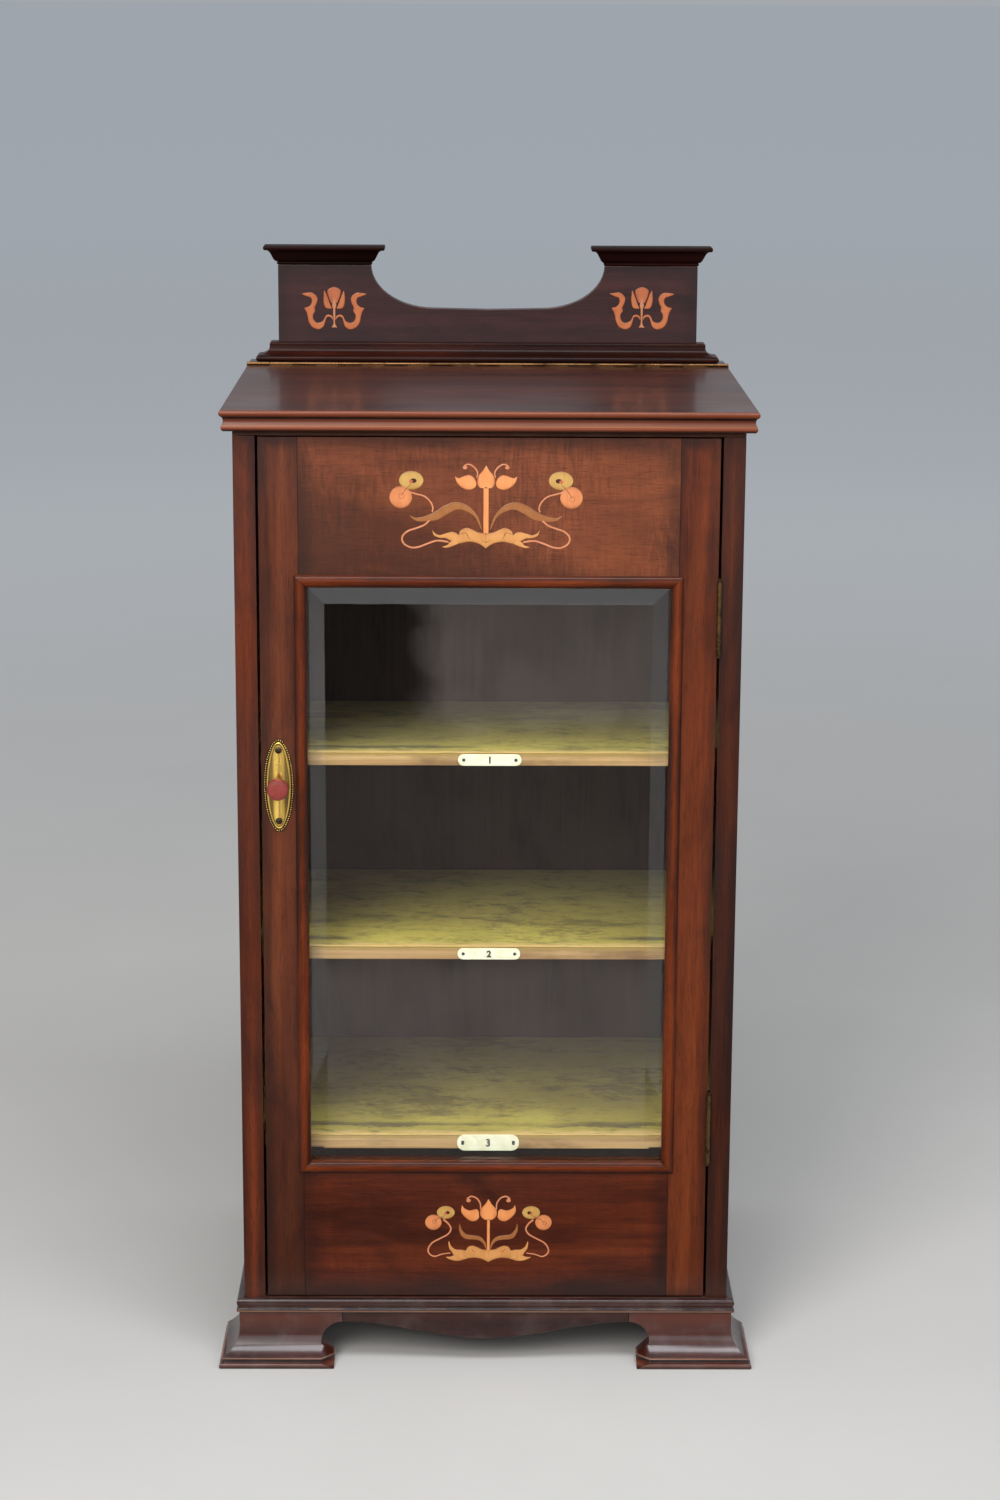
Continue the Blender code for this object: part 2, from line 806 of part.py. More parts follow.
def foot_ring(height, x_sign, y_sign, corner_x, corner_y):
    """An L seen from above, its outer faces spread by the plinth's reach at this height. The
    back of a rear foot is plain, and the wings along the sides are a little shorter."""
    out, wing, face = plinth_reach(height), wing_width(height), face_width(height)
    side_wing, side_face = wing - foot_side_shortfall, face - foot_side_shortfall
    front_out = out
    if y_sign < 0:
        front_out, face = 0, wing - foot_arris
    corners = [
        (-out, -front_out), (face, -front_out), (wing, wing - face - front_out),
        (wing, plinth_thickness), (plinth_thickness, plinth_thickness),
        (plinth_thickness, side_wing), (side_wing - side_face - out, side_wing),
        (-out, side_face),
    ]
    return [(corner_x + x_sign * u, corner_y + y_sign * v, height) for u, v in corners]


def apron(name, reach, swag_height, middle, along, outward):
    """A rail with the plinth's face, whose lower edge swells down to the swag in the middle."""
    rings = []
    heights = [height for height, _ in plinth_profile() if height > apron_swag_height]
    shares = [(height - apron_swag_height) / (plinth_top - apron_swag_height) for height in heights]
    shares = [0.0] + shares
    for i in range(apron_steps + 1):
        place = reach * (2 * i / apron_steps - 1)
        swell = (1 + math.cos(math.pi * place / reach)) / 2
        low = arch_height - (arch_height - swag_height) * swell
        face = [(plinth_reach(z), z) for z in (low + (plinth_top - low) * s for s in shares)]
        section = [(-plinth_thickness, low)] + face + [(-plinth_thickness, plinth_top)]
        rings.append(
            [
                (
                    middle[0] + along[0] * place + outward[0] * out,
                    middle[1] + along[1] * place + outward[1] * out,
                    z,
                )
                for out, z in section
            ]
        )
    return loft(name, rings, "mahogany")


def glazing_profile():
    """(reach, proud) points from the wood's edge: over the frame's face and down to the glass."""
    low = door_setback_to_glass()
    cover, reach, proud = glazing_bead_cover, glazing_bead_reach, glazing_bead_proud
    points = [(seat_gap, -low), (reach, -low)]
    width = (reach + cover) / 2
    for i in range(2 * bead_steps + 1):
        turn = math.pi * i / (2 * bead_steps)
        across = (reach - cover) / 2 + width * math.cos(turn)
        points.append((across, seat_gap + (proud - seat_gap) * math.sin(turn)))
    return points + [(seat_gap, seat_gap)]


def door_setback_to_glass():
    return glass_rebate_depth - seat_gap - glass_thickness - seat_gap


def make_glazing_beads():
    """Four mitred strips that hold the glass from the front."""
    profile = glazing_profile()
    corners = {
        "left": ((-stile_edge, glass_bottom), (-stile_edge, glass_top), (1, 0)),
        "right": ((stile_edge, glass_bottom), (stile_edge, glass_top), (-1, 0)),
        "bottom": ((-stile_edge, glass_bottom), (stile_edge, glass_bottom), (0, 1)),
        "top": ((-stile_edge, glass_top), (stile_edge, glass_top), (0, -1)),
    }
    beads = []
    for name, (start, stop, inward) in corners.items():
        along = Vector((stop[0] - start[0], stop[1] - start[1])).normalized()
        rings = []
        for place, turn in ((start, 1), (stop, -1)):
            ring = []
            for reach, proud in profile:
                x = place[0] + inward[0] * reach + along[0] * turn * (reach + seat_gap / 2)
                z = place[1] + inward[1] * reach + along[1] * turn * (reach + seat_gap / 2)
                ring.append((x, door_face - proud, z))
            rings.append(ring)
        beads.append(loft(f"glazing_bead_{name}", rings, "bead"))
    return beads


def make_door():
    pieces = []
    deep = stile_width + glass_rebate_width
    for name, sign in (("left", -1), ("right", 1)):
        outline = [
            (0, 0), (stile_width, 0), (stile_width, glass_rebate_depth),
            (deep, glass_rebate_depth), (deep, door_thickness), (0, door_thickness),
        ]
        outline = [(sign * (door_half - u), door_face + v) for u, v in outline]
        stile = prism_z(f"{name}_stile", outline, door_bottom, door_top, "mahogany")
        if sign > 0:
            for level, height in hinge_heights().items():
                cut(stile, hinge_recess(f"cut_door_{level}_hinge", -1, height))
        else:
            hole = [(-cut_overrun, door_thickness + cut_overrun)]
            radius = spindle_radius + spindle_clearance
            centre = (handle_x, door_face, handle_height)
            cut(stile, rods("cut_spindle_hole", hole, radius, round_sides, (0, 1, 0), centre))
        pieces.append(stile)
    rails = (
        ("top_rail", glass_top, door_top, -1),
        ("bottom_rail", door_bottom, glass_bottom, 1),
    )
    for name, low, high, inward in rails:
        front_half, back_half = stile_edge - seat_gap, door_half - deep - seat_gap
        edge, outer = (high, low) if inward > 0 else (low, high)
        lip = edge + inward * glass_rebate_width
        z0, z1 = min(outer, lip), max(outer, lip)
        rail = box(name, -front_half, front_half, door_face, door_back, z0, z1, "figured")
        cut(
            rail,
            box(
                f"cut_{name}_rebate", -half_width, half_width, door_face - cut_overrun,
                door_face + glass_rebate_depth, edge, lip + inward * cut_overrun,
            ),
        )
        for side, sign in (("left", -1), ("right", 1)):
            cut(
                rail,
                box(
                    f"cut_{name}_{side}_lap", sign * back_half, sign * half_width,
                    door_face + glass_rebate_depth - seat_gap, door_back + cut_overrun,
                    z0 - cut_overrun, z1 + cut_overrun,
                ),
            )
        pieces.append(rail)
    pieces.append(make_glass())
    pieces += make_glazing_beads()
    pieces.append(make_handle_plate())
    return pieces


def make_glass():
    """The pane, bevelled all round on its front."""
    back = door_face + glass_rebate_depth - seat_gap
    half = stile_edge - seat_gap
    low, high = glass_bottom + seat_gap, glass_top - seat_gap
    rings = []
    for inset, depth in (
        (0, 0), (0, glass_edge_thickness), (glass_bevel_width + glass_rebate_width, glass_thickness),
    ):
        y = back - depth
        rings.append(
            [
                (-half + inset, y, low + inset), (half - inset, y, low + inset),
                (half - inset, y, high - inset), (-half + inset, y, high - inset),
            ]
        )
    return loft("bevelled_glass", rings, "glass")


def make_handle_plate():
    """An oval plate with a raised rim round a sunk field, and a hole for the spindle."""
    hole = spindle_radius + spindle_clearance
    back = door_face - seat_gap
    rings = []
    for inset, depth in (
        (0, 0), (0, plate_edge_thickness), (plate_rim_width / 2, plate_thickness),
        (plate_rim_width, plate_field_thickness),
    ):
        half_x, half_z = plate_width / 2 - inset, plate_height / 2 - inset
        rings.append(
            [
                (handle_x + half_x * u, back - depth, handle_height + half_z * v)
                for u, v in circle(1, round_sides)
            ]
        )
    for depth in (plate_field_thickness, 0):
        rings.append(
            [
                (handle_x + u, back - depth, handle_height + v)
                for u, v in circle(hole, round_sides)
            ]
        )
    return loft("handle_plate", rings, "brass", closed=True)


def make_knob():
    """A turned knob with a flat face, on a spindle that carries the latch's tongue."""
    base = door_face - seat_gap - plate_thickness - seat_gap
    bore = spindle_radius + spindle_clearance
    swell, rounding = knob_radius - knob_neck_radius, knob_radius - knob_face_radius
    profile = [
        (0, -knob_bore_depth), (bore, -knob_bore_depth), (bore, 0), (knob_neck_radius, 0),
        (knob_neck_radius * knob_waist_share, -knob_neck_length / 2),
        (knob_neck_radius, -knob_neck_length),
        (knob_radius * knob_shoulder_share, -knob_neck_length - swell * knob_shoulder_fall_share),
        (knob_radius, -knob_length + rounding * knob_crown_fall_share),
        (knob_radius * knob_edge_share, -knob_length + rounding * knob_edge_fall_share),
        (knob_face_radius, -knob_length),
        (0, -knob_length),
    ]
    knob = turned("knob", profile, (handle_x, base, handle_height), "terracotta")
    tongue_front = door_back + tongue_gap
    stretch = [(base - knob_bore_depth + seat_gap, tongue_front + tongue_thickness / 2)]
    centre = (handle_x, 0, handle_height)
    spindle = rods("spindle_bar", stretch, spindle_radius, knuckle_sides, (0, 1, 0), centre)
    half = tongue_width / 2
    outline = [(-half, 0)]
    for i in range(knuckle_sides // 2 + 1):
        turn = math.pi * (1 + 2 * i / knuckle_sides)
        outline.append((half * math.cos(turn), half * math.sin(turn)))
    tip = tongue_length - half
    for i in range(knuckle_sides // 2 + 1):
        turn = 2 * math.pi * i / knuckle_sides
        outline.append((half * math.cos(turn), tip + half * math.sin(turn)))
    outline = [(handle_x + u, handle_height + v) for u, v in dict.fromkeys(outline)]
    tongue = prism_y("latch_tongue", outline, tongue_front, tongue_front + tongue_thickness, "brass")
    return [knob, joined(tongue, spindle)]


def hinge_heights():
    return {"upper": upper_hinge_height, "lower": lower_hinge_height}


def knuckles(count, length, first):
    """Every second stretch of a barrel, from the first, each short of its neighbours."""
    pitch, start, short = length / count, -length / 2, knuckle_end_gap / 2
    return [
        (start + i * pitch + short, start + (i + 1) * pitch - short)
        for i in range(first, count, 2)
    ]


def hinge_leaf(name, plate, own, others, radius, clearance, bore, along, centre, kind="brass"):
    """A leaf with its knuckles joined on, cleared for the other leaf's and bored for the pin."""
    joined(plate, rods(f"{name}_barrel", own, radius, knuckle_sides, along, centre))
    grown = [(low - knuckle_end_gap, high + knuckle_end_gap) for low, high in others]
    cut(plate, rods(f"cut_{name}_clearance", grown, radius + clearance, knuckle_sides, along, centre))
    reach = max(high for _, high in own + others) + cut_overrun
    cut(plate, rods(f"cut_{name}_bore", [(-reach, reach)], bore, knuckle_sides, along, centre))
    return plate


def make_door_hinges():
    door_leaves = []
    for level, height in hinge_heights().items():
        centre = (door_axis_x, door_axis_y, height)
        half = door_hinge_length / 2
        for name, side, first in (("frame", 1, 0), ("door", -1, 1)):
            leaf = f"{level}_hinge_{name}_leaf"
            x0 = door_axis_x + side * door_leaf_split
            plate = box(
                leaf, x0, x0 + side * door_leaf_thickness, door_axis_y,
                door_axis_y + door_leaf_depth, height - half, height + half, "brass",
            )
            own = knuckles(door_knuckle_count, door_hinge_length, first)
            others = knuckles(door_knuckle_count, door_hinge_length, 1 - first)
            hinge_leaf(
                leaf, plate, own, others, door_knuckle_radius, door_knuckle_clearance,
                door_pin_bore_radius, (0, 0, 1), centre,
            )
            if side < 0:
                door_leaves.append(plate)
        make_door_pin(level, height, half)
    return door_leaves


def make_door_pin(level, height, half):
    """A pin with a small rounded head at each end of the barrel."""
    end = half + knuckle_end_gap
    tip, round_low = pin_head_radius * pin_head_tip_share, pin_head_height * pin_head_round_share
    head = [
        (end, door_pin_radius), (end, pin_head_radius), (end + round_low, pin_head_radius),
        (end + pin_head_height, tip),
    ]
    rings = []
    for place, radius in [(-place, radius) for place, radius in reversed(head)] + head:
        ring = circle(radius, knuckle_sides)
        rings.append([(door_axis_x + u, door_axis_y + v, height + place) for u, v in ring])
    loft(f"{level}_hinge_pin", rings, "brass")


def make_lid_hinge():
    centre = (0, lid_axis_y, lid_axis_z)
    half = lid_hinge_length / 2
    leaves = []
    for name, side, first in (("lid_hinge_fixed_leaf", 1, 0), ("lid_hinge_moving_leaf", -1, 1)):
        y0 = lid_axis_y + side * lid_leaf_split
        plate = box(
            name, -half, half, y0, y0 + side * lid_leaf_thickness,
            lid_axis_z - lid_leaf_depth, lid_axis_z, "brass",
        )
        own = knuckles(lid_knuckle_count, lid_hinge_length, first)
        others = knuckles(lid_knuckle_count, lid_hinge_length, 1 - first)
        hinge_leaf(
            name, plate, own, others, lid_knuckle_radius, knuckle_end_gap,
            lid_pin_bore_radius, (1, 0, 0), centre,
        )
        leaves.append(plate)
    rings = [
        [(x, lid_axis_y + u, lid_axis_z + v) for u, v in circle(lid_pin_radius, knuckle_sides)]
        for x in (-half, half)
    ]
    loft("lid_hinge_pin", rings, "brass")
    return leaves[1]


def main():
    clear_scene()
    make_carcass()
    make_shelves()
    make_gallery()
    make_plinth()
    lid = make_top()
    moving_leaf = make_lid_hinge()
    on_axis("lid_axis", (0, lid_axis_y, lid_axis_z), [lid, moving_leaf])
    door_pieces = make_door() + make_door_hinges()
    door_axis = on_axis("door_axis", (door_axis_x, door_axis_y, 0), door_pieces)
    on_axis("knob_axis", (handle_x, door_face, handle_height), make_knob(), door_axis)
    print("lid axis y, z", lid_axis_y, lid_axis_z)
    print("door axis x, y", door_axis_x, door_axis_y)
    print("knob axis x, z", handle_x, handle_height)


main()
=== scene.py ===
# %% [markdown]
# # A sheet music cabinet
#
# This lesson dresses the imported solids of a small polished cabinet: a lift-up lid over a well, a
# glazed door and three shelves lined with baize. The solids already have the right sizes and
# places, in metres, with the front towards -Y and the floor at Z = 0. What is added here is what
# an eye looks for next: eased edges, grain, inlay, brass, cloth, wear and light.

# %% The frame and the tools
import math

import bmesh
import bpy
import numpy as np
from mathutils import Matrix, Vector


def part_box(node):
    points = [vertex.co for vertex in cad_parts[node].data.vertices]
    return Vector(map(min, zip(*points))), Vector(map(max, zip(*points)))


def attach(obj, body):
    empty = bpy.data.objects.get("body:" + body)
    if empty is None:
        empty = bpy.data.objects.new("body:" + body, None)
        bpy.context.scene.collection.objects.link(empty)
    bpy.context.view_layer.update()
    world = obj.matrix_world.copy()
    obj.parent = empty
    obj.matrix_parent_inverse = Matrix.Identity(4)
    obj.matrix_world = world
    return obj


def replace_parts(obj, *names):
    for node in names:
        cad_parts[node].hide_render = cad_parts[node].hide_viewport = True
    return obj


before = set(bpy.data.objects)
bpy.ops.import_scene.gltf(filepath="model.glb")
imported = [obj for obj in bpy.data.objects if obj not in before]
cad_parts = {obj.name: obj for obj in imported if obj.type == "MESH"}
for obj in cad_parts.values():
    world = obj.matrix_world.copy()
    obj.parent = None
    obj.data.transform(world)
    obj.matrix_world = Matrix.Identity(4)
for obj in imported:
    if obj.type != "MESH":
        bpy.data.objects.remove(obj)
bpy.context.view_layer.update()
draw = np.random.default_rng(41)
MM = 0.001

# %% [markdown]
# ## Camera, floor and light
#
# The camera stands at the photo's viewpoint: 3.3 m in front of the cabinet, a little over its
# top, looking down by 13 degrees. The lens is worked out from the picture, 75 mm on a 36 mm
# sensor. A camera's matrix holds its three directions right, up and back, so it is set from them
# rather than by turning the camera by hand.

# %% Camera
camera_place = Vector((-0.0176, -3.3004, 1.4007))
camera_pitch, camera_yaw, camera_roll = 0.2341, 0.0096, -0.0054
camera_lens, sensor_width, farthest_seen = 75.43, 36.0, 4000.0

sight = Vector(
    (
        math.sin(camera_yaw) * math.cos(camera_pitch),
        math.cos(camera_yaw) * math.cos(camera_pitch),
        -math.sin(camera_pitch),
    )
)
level = Vector((math.cos(camera_yaw), -math.sin(camera_yaw), 0.0))
below = sight.cross(level)
across = math.cos(camera_roll) * level + math.sin(camera_roll) * below
down = -math.sin(camera_roll) * level + math.cos(camera_roll) * below

camera = bpy.data.objects.new("camera", bpy.data.cameras.new("camera"))
camera.data.lens = camera_lens
camera.data.sensor_width = sensor_width
camera.data.clip_end = farthest_seen
camera.matrix_world = Matrix.Translation(camera_place) @ Matrix(
    (across, -down, -sight)
).transposed().to_4x4()
bpy.context.scene.collection.objects.link(camera)
bpy.context.scene.camera = camera
print("camera at", tuple(round(v, 3) for v in camera.location))

# %% [markdown]
# Polished wood shows every lamp, so the lamps are large and soft: a window-sized one at the
# front left, one high over the front that puts the grey sheen on every face that looks up, a
# wide pale screen far behind the camera that the glass's upper bevel mirrors, and a weak fill.
# The world is the pale grey wall of a studio, no brighter than it looks, because what polished
# wood mirrors lies on it as a veil.

# %% Lamps and sky


def lamp(name, place, aim, sides, watts, tint):
    """An area lamp with two sides, turned at its place so that its -Z axis points at aim."""
    light = bpy.data.lights.new(name, "AREA")
    light.shape, light.energy, light.color = "RECTANGLE", watts, tint
    light.size, light.size_y = sides
    thing = bpy.data.objects.new(name, light)
    thing.location = place
    thing.rotation_euler = (Vector(aim) - Vector(place)).to_track_quat("-Z", "Y").to_euler()
    bpy.context.scene.collection.objects.link(thing)


lamp("window", (-1.7, -3.9, 3.1), (0, 0, 0.6), (2.2, 2.2), 145.0, (1.0, 0.98, 0.95))
lamp("over_front", (0.3, -1.7, 3.7), (0, -0.3, 0.4), (2.6, 1.2), 95.0, (0.92, 0.95, 1.0))
lamp("screen", (0.4, -6.4, 2.1), (0, 0, 1.0), (6.0, 2.2), 60.0, (0.97, 0.98, 1.0))
lamp("fill", (2.8, -2.6, 2.2), (0, 0, 0.6), (2.0, 2.0), 25.0, (0.93, 0.96, 1.0))

world = bpy.data.worlds.new("sky")
world.use_nodes = True
world.node_tree.nodes["Background"].inputs["Color"].default_value = (0.372, 0.395, 0.420, 1.0)
bpy.context.scene.world = world
bpy.context.scene.view_settings.view_transform = "Standard"

# %% [markdown]
# ## Small helpers for materials
#
# A Blender material is a graph of nodes. The first functions keep each graph short: fill sets a
# node's inputs or joins them to other nodes, and put adds a node and fills it.

# %% Colours and nodes


def linear(red, green, blue):
    """Screen values from 0 to 255 as linear light: (v / 255) to the power 2.2, nearly."""
    v = np.array([red, green, blue], float) / 255
    low, high = v / 12.92, ((v + 0.055) / 1.055) ** 2.4
    return (*np.where(v <= 0.04045, low, high).tolist(), 1.0)


def fill(tree, node, values):
    """Sets a node's inputs by name or number, each to a plain value or another node's output."""
    for key, value in dict(values).items():
        if isinstance(value, bpy.types.NodeSocket):
            tree.links.new(value, node.inputs[key])
        else:
            node.inputs[key].default_value = value


def put(tree, kind, values=(), **settings):
    """Adds a node: settings are its own properties, values go to its inputs."""
    node = tree.nodes.new(kind)
    for key, value in settings.items():
        setattr(node, key, value)
    fill(tree, node, values)
    return node


# %% [markdown]
# Arithmetic comes next. calc is one sum of any kind, ramp turns a range of values into another,
# blend mixes two colours by a share, and laid lays one colour over another where a value, mostly
# noise, is high.

# %% Arithmetic and mixing


def calc(tree, operation, *values, clamp=False):
    """One Math node: the operation on the values in their order."""
    pairs = dict(enumerate(values))
    return put(tree, "ShaderNodeMath", pairs, operation=operation, use_clamp=clamp).outputs[0]


def product(tree, value, *others):
    """All values multiplied."""
    for other in others:
        value = calc(tree, "MULTIPLY", value, other)
    return value


def apart(tree, one, other):
    """How far two values are apart."""
    return calc(tree, "ABSOLUTE", calc(tree, "SUBTRACT", one, other))


def blend(tree, share, one, other, how="MIX"):
    """One colour laid over another by a share from 0 to 1."""
    pairs = {0: share, 6: one, 7: other}
    node = put(tree, "ShaderNodeMix", pairs, data_type="RGBA", blend_type=how)
    return node.outputs[2]


def ramp(tree, value, low, high, to_low=0.0, to_high=1.0, how="SMOOTHSTEP"):
    """Maps value from low..high to to_low..to_high, held at both ends."""
    pairs = {0: value, 1: low, 2: high, 3: to_low, 4: to_high}
    node = put(tree, "ShaderNodeMapRange", pairs, interpolation_type=how, clamp=True)
    return node.outputs[0]


def laid(tree, colour, tint, value, low, high, most=1.0):
    """The tint over the colour: its share rises to most while value goes from low to high."""
    return blend(tree, ramp(tree, value, low, high, 0.0, most), colour, linear(*tint))


# %% [markdown]
# The rest makes noise and small relief, starts a material, and reads where a point lies or what
# the mesh carries there.

# %% Noise, relief and places


def noise(tree, place, scale, detail=2.0, rough=0.5, distortion=0.0):
    """Soft random values from 0 to 1. The scale is one number, or three for the axes, or two:
    along the grain and across it, so that the pattern runs long one way."""
    if not isinstance(scale, float):
        pairs = {0: place, 1: (*scale, scale[-1])[:3]}
        place = put(tree, "ShaderNodeVectorMath", pairs, operation="MULTIPLY").outputs[0]
        scale = 1.0
    pairs = {
        "Vector": place, "Scale": scale, "Detail": detail, "Roughness": rough,
        "Distortion": distortion,
    }
    return put(tree, "ShaderNodeTexNoise", pairs).outputs["Fac"]


def bump(tree, height, strength, metres):
    """The normal of a surface that is raised by height."""
    pairs = {"Height": height, "Strength": strength, "Distance": metres}
    return put(tree, "ShaderNodeBump", pairs).outputs[0]


def blank(name):
    """A new material with its tree and its Principled shader."""
    material = bpy.data.materials.new(name)
    material.use_nodes = True
    return material, material.node_tree, material.node_tree.nodes["Principled BSDF"]


def object_place(tree):
    """The place in metres on the object, which is its place in the room."""
    return put(tree, "ShaderNodeTexCoord").outputs["Object"]


def split(tree, vector):
    """The three numbers of a vector."""
    return put(tree, "ShaderNodeSeparateXYZ", {0: vector}).outputs


def attribute(tree, name, kind="Fac"):
    """What a mesh carries under this name on its points."""
    return put(tree, "ShaderNodeAttribute", attribute_name=name).outputs[kind]


# %% [markdown]
# ## The floor
#
# A plain pale floor, large enough that its far edge lies next to the top of the picture. The
# camera sees it pale, and paler far off, where the lamps don't reach, and so do the glass and
# the polish. The light that bounces off it is warm, and that is what keeps red wood red low
# down. A slight mottle keeps it from looking like a flat fill.

# %% Floor


def flat_sheet(name, corners, material):
    """A flat sheet with four corners. It is part of the stage, not of the object."""
    mesh = bpy.data.meshes.new(name)
    mesh.from_pydata(corners, [], [(0, 1, 2, 3)])
    mesh.materials.append(material)
    thing = bpy.data.objects.new(name, mesh)
    bpy.context.scene.collection.objects.link(thing)
    print("stage:", name)
    return thing


floor_half = 1500.0
warm_bounce, far_tint, far_glow = linear(150, 124, 98), (0.82, 0.83, 0.84, 1.0), 0.062
floor_material, tree, shader = blank("floor_paint")
place = object_place(tree)
mottle = noise(tree, place, 3.0, 3.0)
tint = blend(tree, mottle, linear(186, 183, 179), linear(194, 191, 187))
distance = put(tree, "ShaderNodeVectorMath", {0: place}, operation="LENGTH").outputs[1]
tint = blend(tree, ramp(tree, distance, 1.0, 6.0), tint, far_tint)
ray = put(tree, "ShaderNodeLightPath").outputs
looked_at = calc(tree, "MAXIMUM", ray["Is Camera Ray"], ray["Is Glossy Ray"])
looked_at = calc(tree, "MAXIMUM", looked_at, ray["Is Transmission Ray"])
glow = product(tree, looked_at, ramp(tree, distance, 2.0, 20.0, 0.0, far_glow))
fill(
    tree, shader,
    {
        "Base Color": blend(tree, looked_at, warm_bounce, tint), "Roughness": 0.9,
        "Specular IOR Level": 0.0, "Emission Color": (0.60, 0.78, 1.0, 1.0),
        "Emission Strength": glow,
    },
)
quarters = (-1, -1), (1, -1), (1, 1), (-1, 1)
floor_corners = [(i * floor_half, j * floor_half, 0) for i, j in quarters]
flat_sheet("floor", floor_corners, floor_material)

# %% [markdown]
# A glass pane that mirrors a pale floor hides what stands behind it, and so does polish. In a
# studio a dark cloth lies on the floor, out of the picture. Only the polish and the glass see
# this one. It has pale places where the pane should show a soft veil, and to put them there
# each place (x, y) on the floor is turned into the place on the door that mirrors it to the
# camera: with t = (door - y) / (door - camera y), that is door x = (x - camera x * t) / (1 + t)
# and door z = camera height * t / (1 + t).

# %% Where the door mirrors the floor
cloth_material, tree, shader = blank("dark_cloth")
x, y = split(tree, object_place(tree))[:2]
door_y = -0.2
reach = door_y - camera_place.y
t = calc(tree, "MULTIPLY_ADD", y, -1 / reach, door_y / reach)
grown = calc(tree, "ADD", t, 1.0)
door_x = calc(tree, "DIVIDE", calc(tree, "MULTIPLY_ADD", t, -camera_place.x, x), grown)
door_z = calc(tree, "DIVIDE", product(tree, t, camera_place.z), grown)
print("door plane at", door_y, "m from the middle,", round(reach, 3), "m from the camera")

# %% [markdown]
# The veil is pale at the top right and at the bottom and faint in the middle, with borders that
# wander. It ends at the pane's edges, and a small pale place is left for the brass to shine in.

# %% The dark cloth on the floor
handle_x, handle_z = -0.200, 0.67
top_share, bottom_share, middle_share, least_share = 0.90, 0.85, 0.27, 0.05
on_door = put(tree, "ShaderNodeCombineXYZ", {0: door_x, 1: door_z}).outputs[0]
patch = noise(tree, on_door, 16.0, 4.0, 0.6, 0.4)
shaky_x = calc(tree, "MULTIPLY_ADD", patch, 0.05, door_x)
shaky_z = calc(tree, "MULTIPLY_ADD", patch, 0.08, door_z)
upper = ramp(tree, shaky_z, 0.700, 0.745)
pale_side = ramp(tree, shaky_x, -0.045, 0.005)
low = product(tree, ramp(tree, shaky_z, 0.45, 0.53, 1.0, 0.0), bottom_share)
middle = product(tree, ramp(tree, upper, 0.0, 1.0, 1.0, 0.0), middle_share)
veil = calc(tree, "ADD", product(tree, upper, pale_side, top_share), low)
veil = product(
    tree, calc(tree, "MAXIMUM", veil, middle),
    ramp(tree, apart(tree, door_x, 0.0), 0.184, 0.192, 1.0, 0.0), ramp(tree, door_z, 0.20, 0.22),
)
at_handle = product(
    tree, ramp(tree, apart(tree, door_x, handle_x), 0.010, 0.030, 0.95, 0.0),
    ramp(tree, apart(tree, door_z, handle_z), 0.05, 0.09, 1.0, 0.0),
)
veil = calc(tree, "MAXIMUM", calc(tree, "MAXIMUM", veil, at_handle), least_share)
veil = product(tree, veil, ramp(tree, patch, 0.34, 0.62, 0.84, 1.0))
tint = blend(tree, veil, linear(8, 7, 7), linear(214, 197, 190))
fill(tree, shader, {"Base Color": tint, "Roughness": 1.0, "Specular IOR Level": 0.0})
cloth_height = 0.004
cloth_sides = (-0.95, -5.6), (0.95, -5.6), (0.34, -0.42), (-0.34, -0.42)
cloth_corners = [(x, y, cloth_height) for x, y in cloth_sides]
floor_cloth = flat_sheet("dark_floor_cloth", cloth_corners, cloth_material)
floor_cloth.visible_camera = floor_cloth.visible_diffuse = False
floor_cloth.visible_shadow = floor_cloth.visible_volume_scatter = False

# %% [markdown]
# ## Mahogany
#
# Mahogany is a red-brown wood with broad soft bands along the board, fine fibres, short dark
# pores and, on a figured board, ripples that cross the grain. Each dressed board carries four
# attributes made further down: grain, its place in metres with x along the board and a shift of
# its own; offset, its place from the middle of the board; half, half the board's size; and arris,
# which is 1 on an eased edge. So one recipe suits a board that lies, stands or goes back.
#
# The polish is a clear coat. A century of hands leaves it duller in patches and rubbed through
# to paler wood on the arrises. Near the board's edges the colour is darkened, partly soot and
# partly painted shade. The distance to the board's nearest edge follows from its box: half -
# |offset| is the distance to each pair of faces, the least of the three is nought on the face
# itself, and the middle one is the distance wanted.
#
# A moulding wears by its profile: its beads and arrises are rubbed to orange, its quirks keep
# black dirt. Its light and shade are painted by height too: quirks, grooves and undersides are
# darkened as painted shade, and some beads carry a painted highlight or sheen. So a moulded
# board may also have stops, which say the colour at each height.

# %% Edges and heights of a board


def edge_distance(tree, offset):
    """The middle one of the distances in metres to the three pairs of faces of the board's box:
    their sum without the least and the most."""
    half = attribute(tree, "half", "Vector")
    size = put(tree, "ShaderNodeVectorMath", {0: offset}, operation="ABSOLUTE").outputs[0]
    gap = put(tree, "ShaderNodeVectorMath", {0: half, 1: size}, operation="SUBTRACT").outputs[0]
    near = split(tree, gap)
    least, most, total = (
        calc(tree, operation, calc(tree, operation, near[0], near[1]), near[2])
        for operation in ("MINIMUM", "MAXIMUM", "ADD")
    )
    return calc(tree, "SUBTRACT", calc(tree, "SUBTRACT", total, least), most)


def painted_by_height(tree, colour, stops, front, uneven):
    """Lays a colour ramp over the height on the colour. A stop is a height in metres, a colour
    and a share; front keeps it to what lies before that y, and uneven thins it out."""
    _, y, z = split(tree, object_place(tree))
    stops = sorted(stops)
    low, high = stops[0][0], stops[-1][0]
    scale = put(tree, "ShaderNodeValToRGB", {0: ramp(tree, z, low, high, how="LINEAR")})
    points = scale.color_ramp.elements
    for height, _, _ in stops[1:-1]:
        points.new((height - low) / (high - low))
    for point, (_, tint, share) in zip(points, stops):
        point.color = (*linear(*tint)[:3], share)
    share = product(tree, scale.outputs["Alpha"], uneven)
    if front is not None:
        share = product(tree, share, ramp(tree, y, front, front + 0.0015, 1.0, 0.0))
    return blend(tree, share, colour, scale.outputs["Color"])


# %% Mahogany recipe


